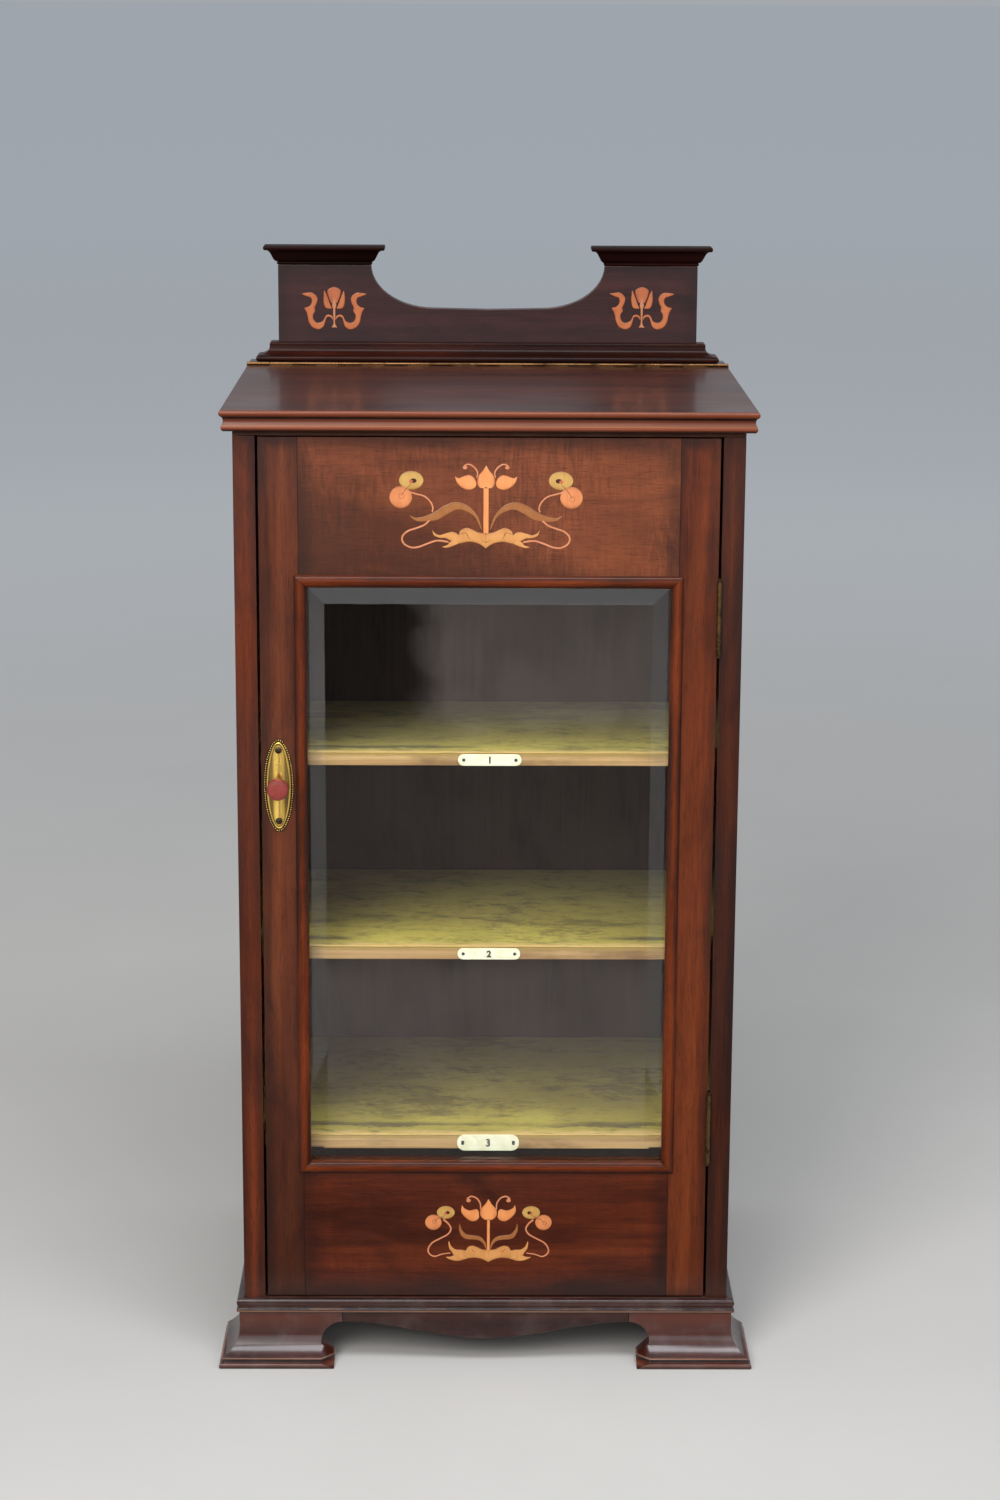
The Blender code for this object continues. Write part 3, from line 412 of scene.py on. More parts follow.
def rippled(tree, colour, grain, strength):
    """The colour times 1 + figure, where figure is noise that runs across the grain, from minus
    to plus the strength, and fades in places."""
    cross = noise(tree, grain, (190.0, 30.0), 3.0, 0.55, 1.2)
    broad = noise(tree, grain, (46.0, 7.0), 2.0, 0.5, 0.7)
    where = ramp(tree, noise(tree, grain, 10.0, 2.0, 0.5, 0.2), 0.38, 0.62, 0.25, 1.0)
    wave = calc(tree, "MULTIPLY_ADD", broad, 0.25, product(tree, cross, 0.9))
    figure = ramp(tree, wave, 0.36, 0.80, -strength, strength, "LINEAR")
    gain = calc(tree, "MULTIPLY_ADD", figure, where, 1.0)
    grey = put(tree, "ShaderNodeCombineXYZ", {0: gain, 1: gain, 2: gain}).outputs[0]
    return blend(tree, 1.0, colour, grey, "MULTIPLY")


def mahogany(
    name, dark, mid, light, ripple=0.0, bands=22.0, smoke=0.45, streaks=0.45, lines=0.50,
    soot=0.60, soot_width=0.014, worn=0.35, worn_colour=(150, 92, 62), stops=(), front=None,
    shade=(0.0, 0.0, 0.0), roughness=0.36, coat=0.28, coat_roughness=0.13, specular=0.20, dust=0.0,
):
    """Wood whose colour is mid, shifted to dark and light by bands along the grain, with dark
    lines and light streaks, times ripples across it, darkened by smoke, darkened at its edges
    by soot and painted shade, and pale where noise rubs an arris. shade is how far the board
    darkens along and across it, per metre, and how much: partly painted shade, partly dirt."""
    material, tree, shader = blank(name)
    grain = attribute(tree, "grain", "Vector")
    offset = attribute(tree, "offset", "Vector")
    deep, deepest = tuple(0.55 * np.array(dark)), tuple(0.5 * np.array(dark))

    band = noise(tree, grain, (1.7, bands), 4.0, 0.58, 0.5)
    fibre = noise(tree, grain, (26.0, 640.0), 3.0, 0.6)
    streak = noise(tree, grain, (5.0, 120.0), 3.0, 0.6)
    glow = noise(tree, grain, (8.0, 58.0), 4.0, 0.62, 0.5)
    pore = ramp(tree, noise(tree, grain, (75.0, 1900.0), 1.0), 0.58, 0.72, 0.0, 0.60)
    cloud = noise(tree, grain, 7.0, 2.0, 0.5, 0.3)
    haze = noise(tree, grain, (6.0, 15.0), 5.0, 0.62, 0.9)

    colour = laid(tree, linear(*dark), mid, band, 0.32, 0.50)
    colour = laid(tree, colour, light, band, 0.50, 0.70)
    colour = laid(tree, colour, dark, streak, 0.40, 0.70, lines)
    colour = laid(tree, colour, light, glow, 0.50, 0.72, streaks)
    colour = laid(tree, colour, light, fibre, 0.42, 0.72, 0.30)
    colour = blend(tree, pore, colour, linear(*deep))
    if ripple > 0:
        colour = rippled(tree, colour, grain, ripple)
    colour = laid(tree, colour, deep, haze, 0.46, 0.70, smoke)

    # partly painted shade, partly dirt: the board darkens towards its bottom, the top rail also
    # towards its left
    if shade[2] > 0:
        pairs = {0: offset, 1: (shade[0], shade[1], 0.0)}
        fall = put(tree, "ShaderNodeVectorMath", pairs, operation="DOT_PRODUCT").outputs["Value"]
        fall = calc(tree, "MULTIPLY_ADD", haze, 0.6, fall)
        colour = laid(tree, colour, deepest, fall, 0.35, 1.25, shade[2])
    if stops:
        uneven = ramp(tree, streak, 0.36, 0.62, 1.0, 0.80)
        colour = painted_by_height(tree, colour, stops, front, uneven)

    # painted shade and soot: the colour darkens near the board's edges
    edge = calc(tree, "MULTIPLY_ADD", haze, -1.6 * soot_width, edge_distance(tree, offset))
    border = ramp(tree, edge, -0.6 * soot_width, 0.6 * soot_width, soot, 0.0)
    border = product(tree, border, ramp(tree, cloud, 0.30, 0.60, 0.45, 1.0))
    colour = blend(tree, border, colour, linear(26, 15, 13))
    rub = ramp(tree, noise(tree, grain, (34.0, 60.0), 3.0, 0.65), 0.47, 0.62)
    rub = product(tree, rub, attribute(tree, "arris"), worn)
    colour = blend(tree, rub, colour, linear(*worn_colour))
    if dust > 0:
        film = noise(tree, grain, 30.0, 4.0, 0.6)
        colour = laid(tree, colour, (140, 128, 125), film, 0.42, 0.75, dust)

    dull = calc(tree, "MULTIPLY_ADD", fibre, 0.12, roughness - 0.06)
    dull = calc(tree, "ADD", dull, ramp(tree, cloud, 0.3, 0.7, -0.05, 0.09, "LINEAR"))
    height = calc(tree, "MULTIPLY_ADD", pore, -1.0, product(tree, fibre, 0.4))
    fill(
        tree, shader,
        {
            "Base Color": colour, "Roughness": dull, "Normal": bump(tree, height, 0.25, 0.00006),
            "Coat Weight": coat, "Coat Roughness": coat_roughness, "Specular IOR Level": specular,
        },
    )
    return material


# %% [markdown]
# The stops of the two moulded edges are read downwards from their top, in millimetres: a rubbed
# upper arris, the swelling, the black quirk of dirt and painted shade, and the beads below it.
# On the lid the paler lower hollow is a painted sheen, the bright line on the lower bead a
# painted highlight and the dark underside painted shade; on the plinth the grooves are dark
# with dirt and painted shade, and the toe's bead has a painted highlight.

# %% Worn mouldings, with painted shade and highlights


def down_from(top, stops):
    """Stops given in millimetres below a height, as heights in metres."""
    return [(top - below_top * MM, tint, share) for below_top, tint, share in stops]


BLACK_DIRT_AND_SHADE, SOOTY_DIRT_AND_SHADE = (12, 4, 3), (14, 8, 8)
lid_low, lid_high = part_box("lid_board")
# painted by height: black quirk and underside as dirt and painted shade, paler lower hollow as
# painted sheen, bright lower arris as painted highlight
LID_EDGE = down_from(lid_high.z, (
    (0.0, (146, 78, 42), 0.0), (0.3, (146, 78, 42), 0.8), (0.6, (132, 64, 32), 0.95),
    (1.2, (118, 56, 28), 0.95), (4.4, (112, 54, 28), 0.95), (6.1, (84, 38, 20), 0.95),
    (6.5, BLACK_DIRT_AND_SHADE, 1.0), (8.0, BLACK_DIRT_AND_SHADE, 1.0), (8.8, (98, 46, 28), 0.95),
    (11.0, (106, 54, 36), 0.95), (13.0, (118, 74, 56), 0.95), (14.8, (124, 74, 52), 0.95),
    (15.3, (152, 96, 62), 0.95), (15.9, (126, 62, 32), 0.95), (18.4, (106, 50, 26), 0.95),
    (19.8, (44, 18, 10), 0.95), (21.0, (14, 6, 4), 1.0),
))
plinth_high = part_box("base_mould_front")[1].z
# the dark bands round the bead are dirt and painted shade
BASE_MOULD = (
    (0.0, (70, 30, 20), 0.0), (8.6, (60, 26, 18), 0.0), (9.6, SOOTY_DIRT_AND_SHADE, 0.9),
    (11.6, (30, 22, 24), 0.8), (12.8, (176, 126, 98), 0.85), (13.9, (170, 110, 80), 0.9),
    (14.4, (26, 12, 10), 0.9),
)
# the toe's groove is dirt and painted shade; its bead carries a painted highlight
PLINTH_EDGE = down_from(plinth_high, BASE_MOULD + (
    (17.0, (96, 42, 26), 0.8), (30.0, (78, 34, 22), 0.6), (44.0, (56, 30, 26), 0.3),
    (57.6, (60, 38, 36), 0.0), (58.9, (70, 44, 38), 0.3), (59.4, (150, 108, 88), 0.75),
    (60.2, (140, 98, 80), 0.75), (60.7, SOOTY_DIRT_AND_SHADE, 0.95), (63.8, SOOTY_DIRT_AND_SHADE, 0.95),
    (64.5, (92, 40, 28), 0.6), (66.8, (132, 82, 62), 0.5), (68.4, (84, 34, 24), 0.6),
    (70.0, (52, 20, 15), 0.7),
))
APRON_EDGE = down_from(plinth_high, BASE_MOULD + (
    (17.0, (72, 30, 20), 0.7), (28.0, (44, 18, 12), 0.0),
))
print("stops:", len(LID_EDGE), len(PLINTH_EDGE), len(APRON_EDGE))

# %% [markdown]
# No two boards of the real one have the same colour, so each kind of board has three tones of its
# own, dark, middle and light, and says what differs from the common recipe.

# %% The boards' woods
RECIPES = {
    "left_post": ((58, 20, 10), (90, 38, 18), (114, 50, 24), dict(
        bands=30.0, smoke=0.34, streaks=0.30, soot=0.55, soot_width=0.010, shade=(-0.9, 0.0, 0.25),
    )),
    # the right post's tones are darker than the left post's, and it darkens more towards the bottom
    "right_post": ((40, 14, 8), (66, 28, 14), (92, 42, 20), dict(
        bands=30.0, streaks=0.28, soot=0.65, soot_width=0.010, shade=(-0.9, 0.0, 0.35),
    )),
    "left_stile": ((60, 25, 14), (87, 42, 24), (106, 54, 31), dict(
        bands=32.0, smoke=0.34, streaks=0.26, soot_width=0.011, shade=(-1.9, 0.0, 0.60),
    )),
    "right_stile": ((66, 25, 11), (98, 43, 19), (122, 58, 27), dict(
        bands=32.0, smoke=0.36, streaks=0.30, soot_width=0.011, shade=(-1.2, 0.0, 0.40),
    )),
    "top_rail": ((80, 40, 26), (110, 58, 35), (128, 69, 40), dict(
        ripple=0.38, bands=7.0, smoke=0.36, streaks=0.12, soot=0.50, worn=0.2,
        shade=(-6.5, -17.0, 0.60), lines=0.15,
    )),
    # partly painted shade: the bottom rail's tones are darker than the top rail's
    "bottom_rail": ((48, 17, 9), (76, 30, 15), (102, 44, 21), dict(
        ripple=0.14, bands=19.0, smoke=0.55, streaks=0.36, soot=0.75, soot_width=0.018, worn=0.2,
    )),
    "lid": ((46, 19, 13), (68, 31, 22), (88, 44, 31), dict(
        bands=18.0, smoke=0.35, soot=0.0, worn=0.30, worn_colour=(150, 90, 58), stops=LID_EDGE,
        front=lid_low.y + 6.6 * MM, roughness=0.34, coat=0.30, coat_roughness=0.15, specular=0.14,
    )),
    "gallery": ((30, 12, 12), (46, 21, 21), (62, 30, 27), dict(
        bands=26.0, smoke=0.5, soot=0.5, worn=0.5, worn_colour=(120, 76, 60), specular=0.22,
    )),
    "gallery_mould": ((22, 7, 4), (40, 13, 7), (60, 21, 10), dict(
        bands=30.0, soot=0.5, soot_width=0.004, worn=0.95, worn_colour=(150, 92, 66), coat=0.10,
        coat_roughness=0.08, specular=0.05,
    )),
    "cap": ((18, 5, 3), (34, 9, 6), (48, 14, 9), dict(
        bands=26.0, worn=0.6, worn_colour=(96, 66, 52), coat=0.05, specular=0.03, roughness=0.45,
    )),
    "plinth": ((34, 11, 7), (58, 20, 12), (78, 30, 19), dict(
        bands=24.0, smoke=0.60, soot=0.5, soot_width=0.006, worn=0.50, worn_colour=(168, 118, 88),
        stops=PLINTH_EDGE, coat=0.75, coat_roughness=0.20, dust=0.12,
    )),
    "apron": ((26, 10, 7), (44, 18, 12), (64, 27, 18), dict(
        bands=24.0, smoke=0.55, soot=0.7, soot_width=0.006, worn=0.85, worn_colour=(150, 104, 78),
        stops=APRON_EDGE, coat=0.45, coat_roughness=0.20, dust=0.10,
    )),
    # the beads' dark edges are painted shade as well as soot
    "bead": ((56, 19, 8), (104, 43, 16), (134, 63, 27), dict(
        bands=40.0, smoke=0.30, soot=0.78, soot_width=0.0052, worn=0.5, roughness=0.30,
        worn_colour=(176, 104, 62), coat=0.22, coat_roughness=0.16, specular=0.05,
    )),
    "inside": ((52, 26, 17), (72, 39, 25), (90, 52, 34), dict(
        bands=24.0, smoke=0.25, soot=0.3, worn=0.2, roughness=0.6, coat=0.0, dust=0.06,
    )),
}
WOODS = {
    name: mahogany(name + "_mahogany", *tones, **differences)
    for name, (*tones, differences) in RECIPES.items()
}
print("woods:", sorted(WOODS))

# %% [markdown]
# ## Softwood, back board and the metals
#
# The shelves and the floor of the well are bare pale softwood, with darker latewood lines and
# some dirt. The back is a board stained nearly black and scuffed. Brass is never one yellow: it
# is bright where fingers rub and brown where they don't, so its colour is mixed by noise and by
# an attribute called soil, which is 1 in a groove and also paints shade on the
# handle's field.

# %% Pale wood and back board


def softwood(name, dark, light, grime, roughness=0.62, fringe=None):
    """Pale wood: fine latewood lines along the grain, with blotches of grime. fringe is the
    colour of the fibres and glue that a cloth leaves where the attribute lip is near 1."""
    material, tree, shader = blank(name)
    grain = attribute(tree, "grain", "Vector")
    line = noise(tree, grain, (2.0, 150.0), 3.0, 0.6, 0.4)
    fibre = noise(tree, grain, (20.0, 900.0))
    stain = noise(tree, grain, (9.0, 30.0), 4.0, 0.65)
    colour = laid(tree, linear(*light), dark, line, 0.35, 0.65)
    colour = laid(tree, colour, dark, fibre, 0.4, 0.8, 0.3)
    colour = laid(tree, colour, grime, stain, 0.48, 0.75, 0.7)
    colour = blend(tree, product(tree, attribute(tree, "arris"), 0.25), colour, linear(*grime))
    if fringe:
        fray = noise(tree, grain, (160.0, 400.0), 4.0, 0.7)
        lip = calc(tree, "MULTIPLY_ADD", fray, 0.30, attribute(tree, "lip"))
        colour = laid(tree, colour, fringe, lip, 0.90, 1.02, 0.85)
    fill(
        tree, shader,
        {
            "Base Color": colour, "Normal": bump(tree, line, 0.3, 0.00012),
            "Roughness": ramp(tree, fibre, 0.2, 0.8, roughness, roughness + 0.2),
            "Specular IOR Level": 0.2,
        },
    )
    return material


PINE = (156, 118, 76), (186, 148, 102), (92, 66, 40)
shelf_wood = softwood("shelf_softwood", *PINE, fringe=(150, 122, 66))
well_wood = softwood("well_softwood", *PINE)
back_wood = softwood("back_softwood", (56, 44, 40), (64, 50, 46), (22, 17, 16), 0.60)
print("softwoods:", shelf_wood.name, well_wood.name, back_wood.name)

# %% Brass, ivory and composition


def metal(name, bright, tarnish, roughness, spot_scale, most):
    """Metal that goes from bright to tarnish by noise, and to tarnish where soil is 1:
    dirt, and on the handle's field painted shade. Neither is metal, so soil takes
    nine tenths of the metal away."""
    material, tree, shader = blank(name)
    place, soil = object_place(tree), attribute(tree, "soil")
    spot = noise(tree, place, spot_scale, 4.0, 0.65, 0.5)
    share = ramp(tree, spot, 0.42, 0.72, 0.0, most)
    share = calc(tree, "MAXIMUM", share, soil, clamp=True)
    scratch = noise(tree, place, (900.0, 900.0, 90.0))
    fill(
        tree, shader,
        {
            "Base Color": blend(tree, share, linear(*bright), linear(*tarnish)),
            "Normal": bump(tree, scratch, 0.15, 0.00005),
            "Roughness": calc(tree, "MULTIPLY_ADD", share, 0.35, roughness),
            "Metallic": calc(tree, "MULTIPLY_ADD", soil, -0.9, 1.0), "Specular IOR Level": 0.25,
        },
    )
    return material


gilt_brass = metal("gilt_brass", (252, 210, 108), (30, 18, 10), 0.24, 90.0, 0.40)
aged_brass = metal("aged_brass", (104, 82, 52), (34, 26, 18), 0.38, 90.0, 0.95)
strip_brass = metal("strip_brass", (112, 80, 50), (36, 24, 18), 0.26, 26.0, 0.95)
screw_metal = metal("screw_metal", (70, 60, 50), (24, 20, 18), 0.45, 220.0, 0.9)


def smooth_stuff(name, main, other, roughness, grime):
    """Ivory-like or composition surface: two close colours, with grime in patches."""
    material, tree, shader = blank(name)
    place = object_place(tree)
    tint = ramp(tree, noise(tree, place, 120.0, 3.0, 0.6, 0.2), 0.35, 0.7)
    dirt = ramp(tree, noise(tree, place, 480.0, 4.0, 0.7), 0.55, 0.8, 0.0, 0.35)
    dirt = calc(tree, "MAXIMUM", dirt, attribute(tree, "soil"), clamp=True)
    colour = blend(tree, tint, linear(*main), linear(*other))
    colour = blend(tree, dirt, colour, linear(*grime))
    dull = ramp(tree, tint, 0.0, 1.0, roughness, roughness + 0.12)
    fill(tree, shader, {"Base Color": colour, "Roughness": dull})
    return material


ivory = smooth_stuff("ivory_celluloid", (228, 222, 198), (218, 208, 176), 0.34, (164, 138, 92))
terracotta = smooth_stuff("terracotta_knob", (140, 54, 47), (126, 45, 39), 0.40, (70, 20, 18))
ink = smooth_stuff("label_ink", (34, 30, 28), (44, 38, 34), 0.5, (20, 18, 16))
print("small finishes:", gilt_brass.name, ivory.name, terracotta.name)

# %% [markdown]
# ## Dressed boards
#
# A solid from the workshop drawing has knife-sharp edges, and no real board does. Each rigid
# node is copied, the copy's loose triangles are merged and its flat faces joined, and every
# edge sharper than a limit is eased with two short facets. The copy then stands for the node,
# which stays behind it, hidden. The four attributes for the wood are worked out from the box
# of the board as whole arrays.

# %% Easing
MERGED, FLAT = 2e-6, math.radians(0.8)


def eased_mesh(node, ease, limit=38.0):
    """The node's mesh with sharp edges eased by two facets, and the points on their middle."""
    shape = bmesh.new()
    shape.from_mesh(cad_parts[node].data)
    bmesh.ops.remove_doubles(shape, verts=shape.verts, dist=MERGED)
    bmesh.ops.dissolve_limit(shape, angle_limit=FLAT, verts=shape.verts, edges=shape.edges)
    sharp = [
        edge for edge in shape.edges
        if len(edge.link_faces) == 2 and edge.calc_face_angle(0.0) > math.radians(limit)
    ]
    rounded = bmesh.ops.bevel(
        shape, geom=sharp, offset=ease, offset_type="OFFSET", segments=2, profile=0.5,
        affect="EDGES", clamp_overlap=True, harden_normals=False,
    )
    facets = set(rounded["faces"])
    shape.verts.index_update()
    middle = [
        vertex.index for vertex in rounded["verts"]
        if vertex.is_valid and all(face in facets for face in vertex.link_faces)
    ]
    mesh = bpy.data.meshes.new(node)
    shape.to_mesh(mesh)
    shape.free()
    return mesh, middle


# %% Attributes and pieces
AXES = {"x": (0, 2, 1), "y": (1, 0, 2), "z": (2, 0, 1)}
KINDS = {1: ("FLOAT", "value"), 3: ("FLOAT_VECTOR", "vector"), 4: ("FLOAT_COLOR", "color")}


def places(mesh):
    """All points of a mesh as an n x 3 array."""
    flat = np.empty(len(mesh.vertices) * 3, np.float32)
    mesh.vertices.foreach_get("co", flat)
    return flat.reshape(-1, 3).astype(float)


def carry(mesh, name, values):
    """Puts an array on the points of a mesh: one number, a vector or a colour for each."""
    values = np.array(values, np.float32).reshape(len(mesh.vertices), -1)
    kind, field = KINDS[values.shape[1]]
    mesh.attributes.new(name, kind, "POINT").data.foreach_set(field, values.ravel())


def add_board_attributes(mesh, along, middle):
    """grain is the place turned so that x runs along the board, plus a shift of its own; offset
    and half are place - centre and half the box, in that order; arris is 1 on the middles."""
    points = places(mesh)[:, AXES[along]]
    low, high = points.min(0), points.max(0)
    arris = np.zeros(len(points))
    arris[list(middle)] = 1.0
    carry(mesh, "grain", points + draw.uniform(-9, 9, 3))
    carry(mesh, "offset", points - (low + high) / 2)
    carry(mesh, "half", np.broadcast_to((high - low) / 2, points.shape))
    carry(mesh, "arris", arris)


def shown(name, mesh, material, body, weighted=True):
    """An object at the origin with its material, riding on a body."""
    mesh.name = name
    mesh.materials.append(material)
    mesh.shade_smooth()
    thing = bpy.data.objects.new(name, mesh)
    bpy.context.scene.collection.objects.link(thing)
    if weighted:
        thing.modifiers.new("even_shading", "WEIGHTED_NORMAL").weight = 80
    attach(thing, body)
    return thing


def dress(node, body, along, material, ease=0.0007):
    """A dressed copy of a wooden node that stands for it."""
    mesh, middle = eased_mesh(node, ease)
    add_board_attributes(mesh, along, middle)
    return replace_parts(shown("dressed_" + node, mesh, material, body), node)


# %% [markdown]
# The carcass first: two sides, the bottom, the rails and the inner boards. Grain runs up the
# sides and across the rest, as a joiner cuts them. A shelf also carries lip, which is 0 at the
# bottom of its front edge and 1 at the top, where the cloth frays over it.

# %% Carcass, well and top
LEVELS = ("lower", "middle", "upper")
for side in ("left", "right"):
    dress(f"{side}_side", "cabinet", "z", WOODS[f"{side}_post"], 0.0009)
for node in ("bottom_board", "sub_top_frame", "well_front"):
    dress(node, "cabinet", "x", WOODS["inside"], 0.0006)
dress("back_panel", "cabinet", "z", back_wood, 0.0005)
dress("well_floor", "cabinet", "x", well_wood, 0.0005)
for level_name in LEVELS:
    shelf = dress(level_name + "_shelf", "cabinet", "x", shelf_wood, 0.0007)
    corners = places(shelf.data)
    at_front = corners[:, 1] < corners[:, 1].min() + 1.5 * MM
    edge_low, edge_high = corners[at_front, 2].min(), corners[at_front, 2].max()
    share = (corners[:, 2] - edge_low) / (edge_high - edge_low)
    carry(shelf.data, "lip", np.where(at_front, share, 0.0))
dress("rear_top_rail", "cabinet", "x", WOODS["lid"], 0.0008)
dress("lid_board", "lid", "x", WOODS["lid"], 0.0008)
print("carcass dressed")

# %% Gallery and plinth
dress("gallery_board", "cabinet", "x", WOODS["gallery"], 0.0008)
dress("gallery_mould_front", "cabinet", "x", WOODS["gallery_mould"], 0.0006)
for side in ("left", "right"):
    dress(f"gallery_mould_{side}", "cabinet", "y", WOODS["gallery_mould"], 0.0006)
    dress(f"{side}_cap_mould", "cabinet", "x", WOODS["cap"], 0.0005)
    dress(f"{side}_cap_board", "cabinet", "x", WOODS["cap"], 0.0005)
    dress(f"base_mould_{side}", "cabinet", "y", WOODS["plinth"], 0.0005)
    dress(f"{side}_apron", "cabinet", "y", WOODS["apron"], 0.0007)
    for end in ("front", "back"):
        dress(f"{end}_{side}_foot", "cabinet", "x", WOODS["plinth"], 0.0006)
dress("base_mould_front", "cabinet", "x", WOODS["plinth"], 0.0006)
for node in ("front_apron", "back_apron"):
    dress(node, "cabinet", "x", WOODS["apron"], 0.0006)
print("gallery and plinth dressed")

# %% [markdown]
# The door is framed: the stiles run its whole height and the rails fit between them. The rails
# are cut from figured wood, because they carry the inlay.

# %% Door frame and glazing beads
for side in ("left", "right"):
    dress(f"{side}_stile", "door", "z", WOODS[f"{side}_stile"], 0.0008)
    dress(f"glazing_bead_{side}", "door", "z", WOODS["bead"], 0.0003)
for end in ("top", "bottom"):
    dress(f"{end}_rail", "door", "x", WOODS[f"{end}_rail"], 0.0005)
    dress(f"glazing_bead_{end}", "door", "x", WOODS["bead"], 0.0003)
print("door dressed")

# %% [markdown]
# ## Glass
#
# The pane is a real thick plate with its bevel, so it bends and doubles what is behind it. A
# glass solid would stop the lamps' light, so for shadow rays only it is see-through.

# %% Bevelled pane
glass_material, tree, shader = blank("plate_glass")
fill(
    tree, shader,
    {
        "Base Color": (0.93, 0.96, 0.95, 1.0), "Transmission Weight": 1.0, "IOR": 1.50,
        "Specular IOR Level": 0.5, "Roughness": 0.0,
    },
)
clear = put(tree, "ShaderNodeBsdfTransparent", {"Color": (0.90, 0.94, 0.92, 1.0)}).outputs[0]
shadow_ray = put(tree, "ShaderNodeLightPath").outputs["Is Shadow Ray"]
both = put(tree, "ShaderNodeMixShader", {0: shadow_ray, 1: shader.outputs[0], 2: clear})
fill(tree, tree.nodes["Material Output"], {"Surface": both.outputs[0]})
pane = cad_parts["bevelled_glass"]
pane.data.materials.clear()
pane.data.materials.append(glass_material)

# %% [markdown]
# ## Inlay
#
# The flowers are cut from thin pale woods and let into the face. Every piece of them is a strip
# between two edge curves: at share u along it and share v across it, a point is
# (1 - v) * first(u) + v * second(u). The surface stands a hair above the board in the middle and
# falls at its edges, where it was scorched in hot sand, and its sides go into the wood, so that
# each piece is closed. All curves are written in millimetres from the foot of the stem.

# %% Curves and grids


def smooth_curve(knots, count):
    """A curve through the knots: on each stretch the cubic of Catmull and Rom, which leaves a
    knot in the direction from the one before to the one after."""
    knots = np.asarray(knots, float)
    padded = np.concatenate([2 * knots[:1] - knots[1:2], knots, 2 * knots[-1:] - knots[-2:-1]])
    run = np.linspace(0, len(knots) - 1, count)
    start = np.minimum(run.astype(int), len(knots) - 2)
    t = (run - start)[:, None]
    a, b, c, d = (padded[start + i] for i in range(4))
    return 0.5 * (
        2 * b + (c - a) * t + (2 * a - 5 * b + 4 * c - d) * t**2 + (3 * b - a - 3 * c + d) * t**3
    )


def grid_faces(rows, columns, wrap=False):
    """The quads of a grid of points in rows; wrap joins the last column to the first."""
    steps = columns if wrap else columns - 1
    row, column = np.meshgrid(np.arange(rows - 1), np.arange(steps), indexing="ij")
    here, beside = row * columns + column, row * columns + (column + 1) % columns
    return np.stack([here, beside, beside + columns, here + columns], -1).reshape(-1, 4)


# %% [markdown]
# A piece's cross-section is three lists: how far across the piece each of its points lies, how
# far out it stands, in millimetres, and how dark it is scorched.

# %% Pieces of inlay
SECTION_V = np.array([0.0, 0.0, 0.10, 0.30, 0.50, 0.70, 0.90, 1.0, 1.0])
SECTION_OUT = np.array([-0.30, 0.03, 0.10, 0.12, 0.12, 0.12, 0.10, 0.03, -0.30])
SECTION_BURN = np.array([1.0, 1.0, 0.35, 0.08, 0.0, 0.08, 0.35, 1.0, 1.0])


def strip(first, second, tone, stations=40, lift=0.0, scorch=0.0):
    """One inlaid piece as (points, faces, tones, burns): a ring of the section at every station
    between the two edge curves, closed by a cap at each end. Points are (x, out, z) in mm."""
    first, second = smooth_curve(first, stations), smooth_curve(second, stations)
    share = SECTION_V[None, :, None]
    flat = (1 - share) * first[:, None] + share * second[:, None]
    out = np.broadcast_to(SECTION_OUT + lift, flat.shape[:2])
    points = np.stack([flat[..., 0], out, flat[..., 1]], -1).reshape(-1, 3)
    columns = len(SECTION_V)
    faces = grid_faces(stations, columns, True).tolist()
    faces += [list(range(columns)), list(range((stations - 1) * columns, stations * columns))]
    along = np.linspace(1.0, 0.0, stations)[:, None] ** 3
    burns = np.clip(SECTION_BURN[None] + scorch * along, 0, 1).ravel()
    tones = np.tile(linear(*tone), (len(points), 1))
    return points, faces, tones, burns


def ribbon(path, widths, tone, stations=60, lift=0.0):
    """A strip along a path: its edges lie half the width to each side, along the normal."""
    line = smooth_curve(path, stations)
    run = np.linspace(0, 1, stations)
    half = np.interp(run, np.linspace(0, 1, len(widths)), widths) / 2
    heading = np.gradient(line, axis=0)
    heading /= np.linalg.norm(heading, axis=1)[:, None]
    normal = np.stack([-heading[:, 1], heading[:, 0]], -1) * half[:, None]
    return strip(line + normal, line - normal, tone, stations, lift)


def disc(centre, half_wide, half_tall, tone, lift=0.0):
    """An oval as a strip from end to end: its edges are the upper and the lower half."""
    turn = np.linspace(0.03, math.pi - 0.03, 30)
    upper, lower = (
        np.stack([half_wide * np.cos(turn), sign * half_tall * np.sin(turn)], -1) + centre
        for sign in (1, -1)
    )
    return strip(upper, lower, tone, len(turn), lift)


def mirrored(points):
    """The same curve on the other side of the stem."""
    return [(-x, z) for x, z in points]


# %% [markdown]
# The colours follow the woods: peach-pink for the open flower, a yellower one for the scroll at
# its foot, olive for the leaves, green-yellow for the seed heads. Both sides of a flower are
# drawn from one list: a row has the function that makes the piece, its curves on the left side,
# and what else the function takes.

# %% Tones, seed heads and the two sides
LOTUS, PEACH, SCROLL = (250, 168, 106), (232, 152, 100), (226, 166, 100)
SEED, LEAF, TENDRIL, LINE = (214, 176, 102), (172, 114, 66), (226, 152, 112), (108, 52, 28)
HOLLOW, PIP, HOOK = (58, 26, 16), (206, 112, 76), (186, 104, 66)


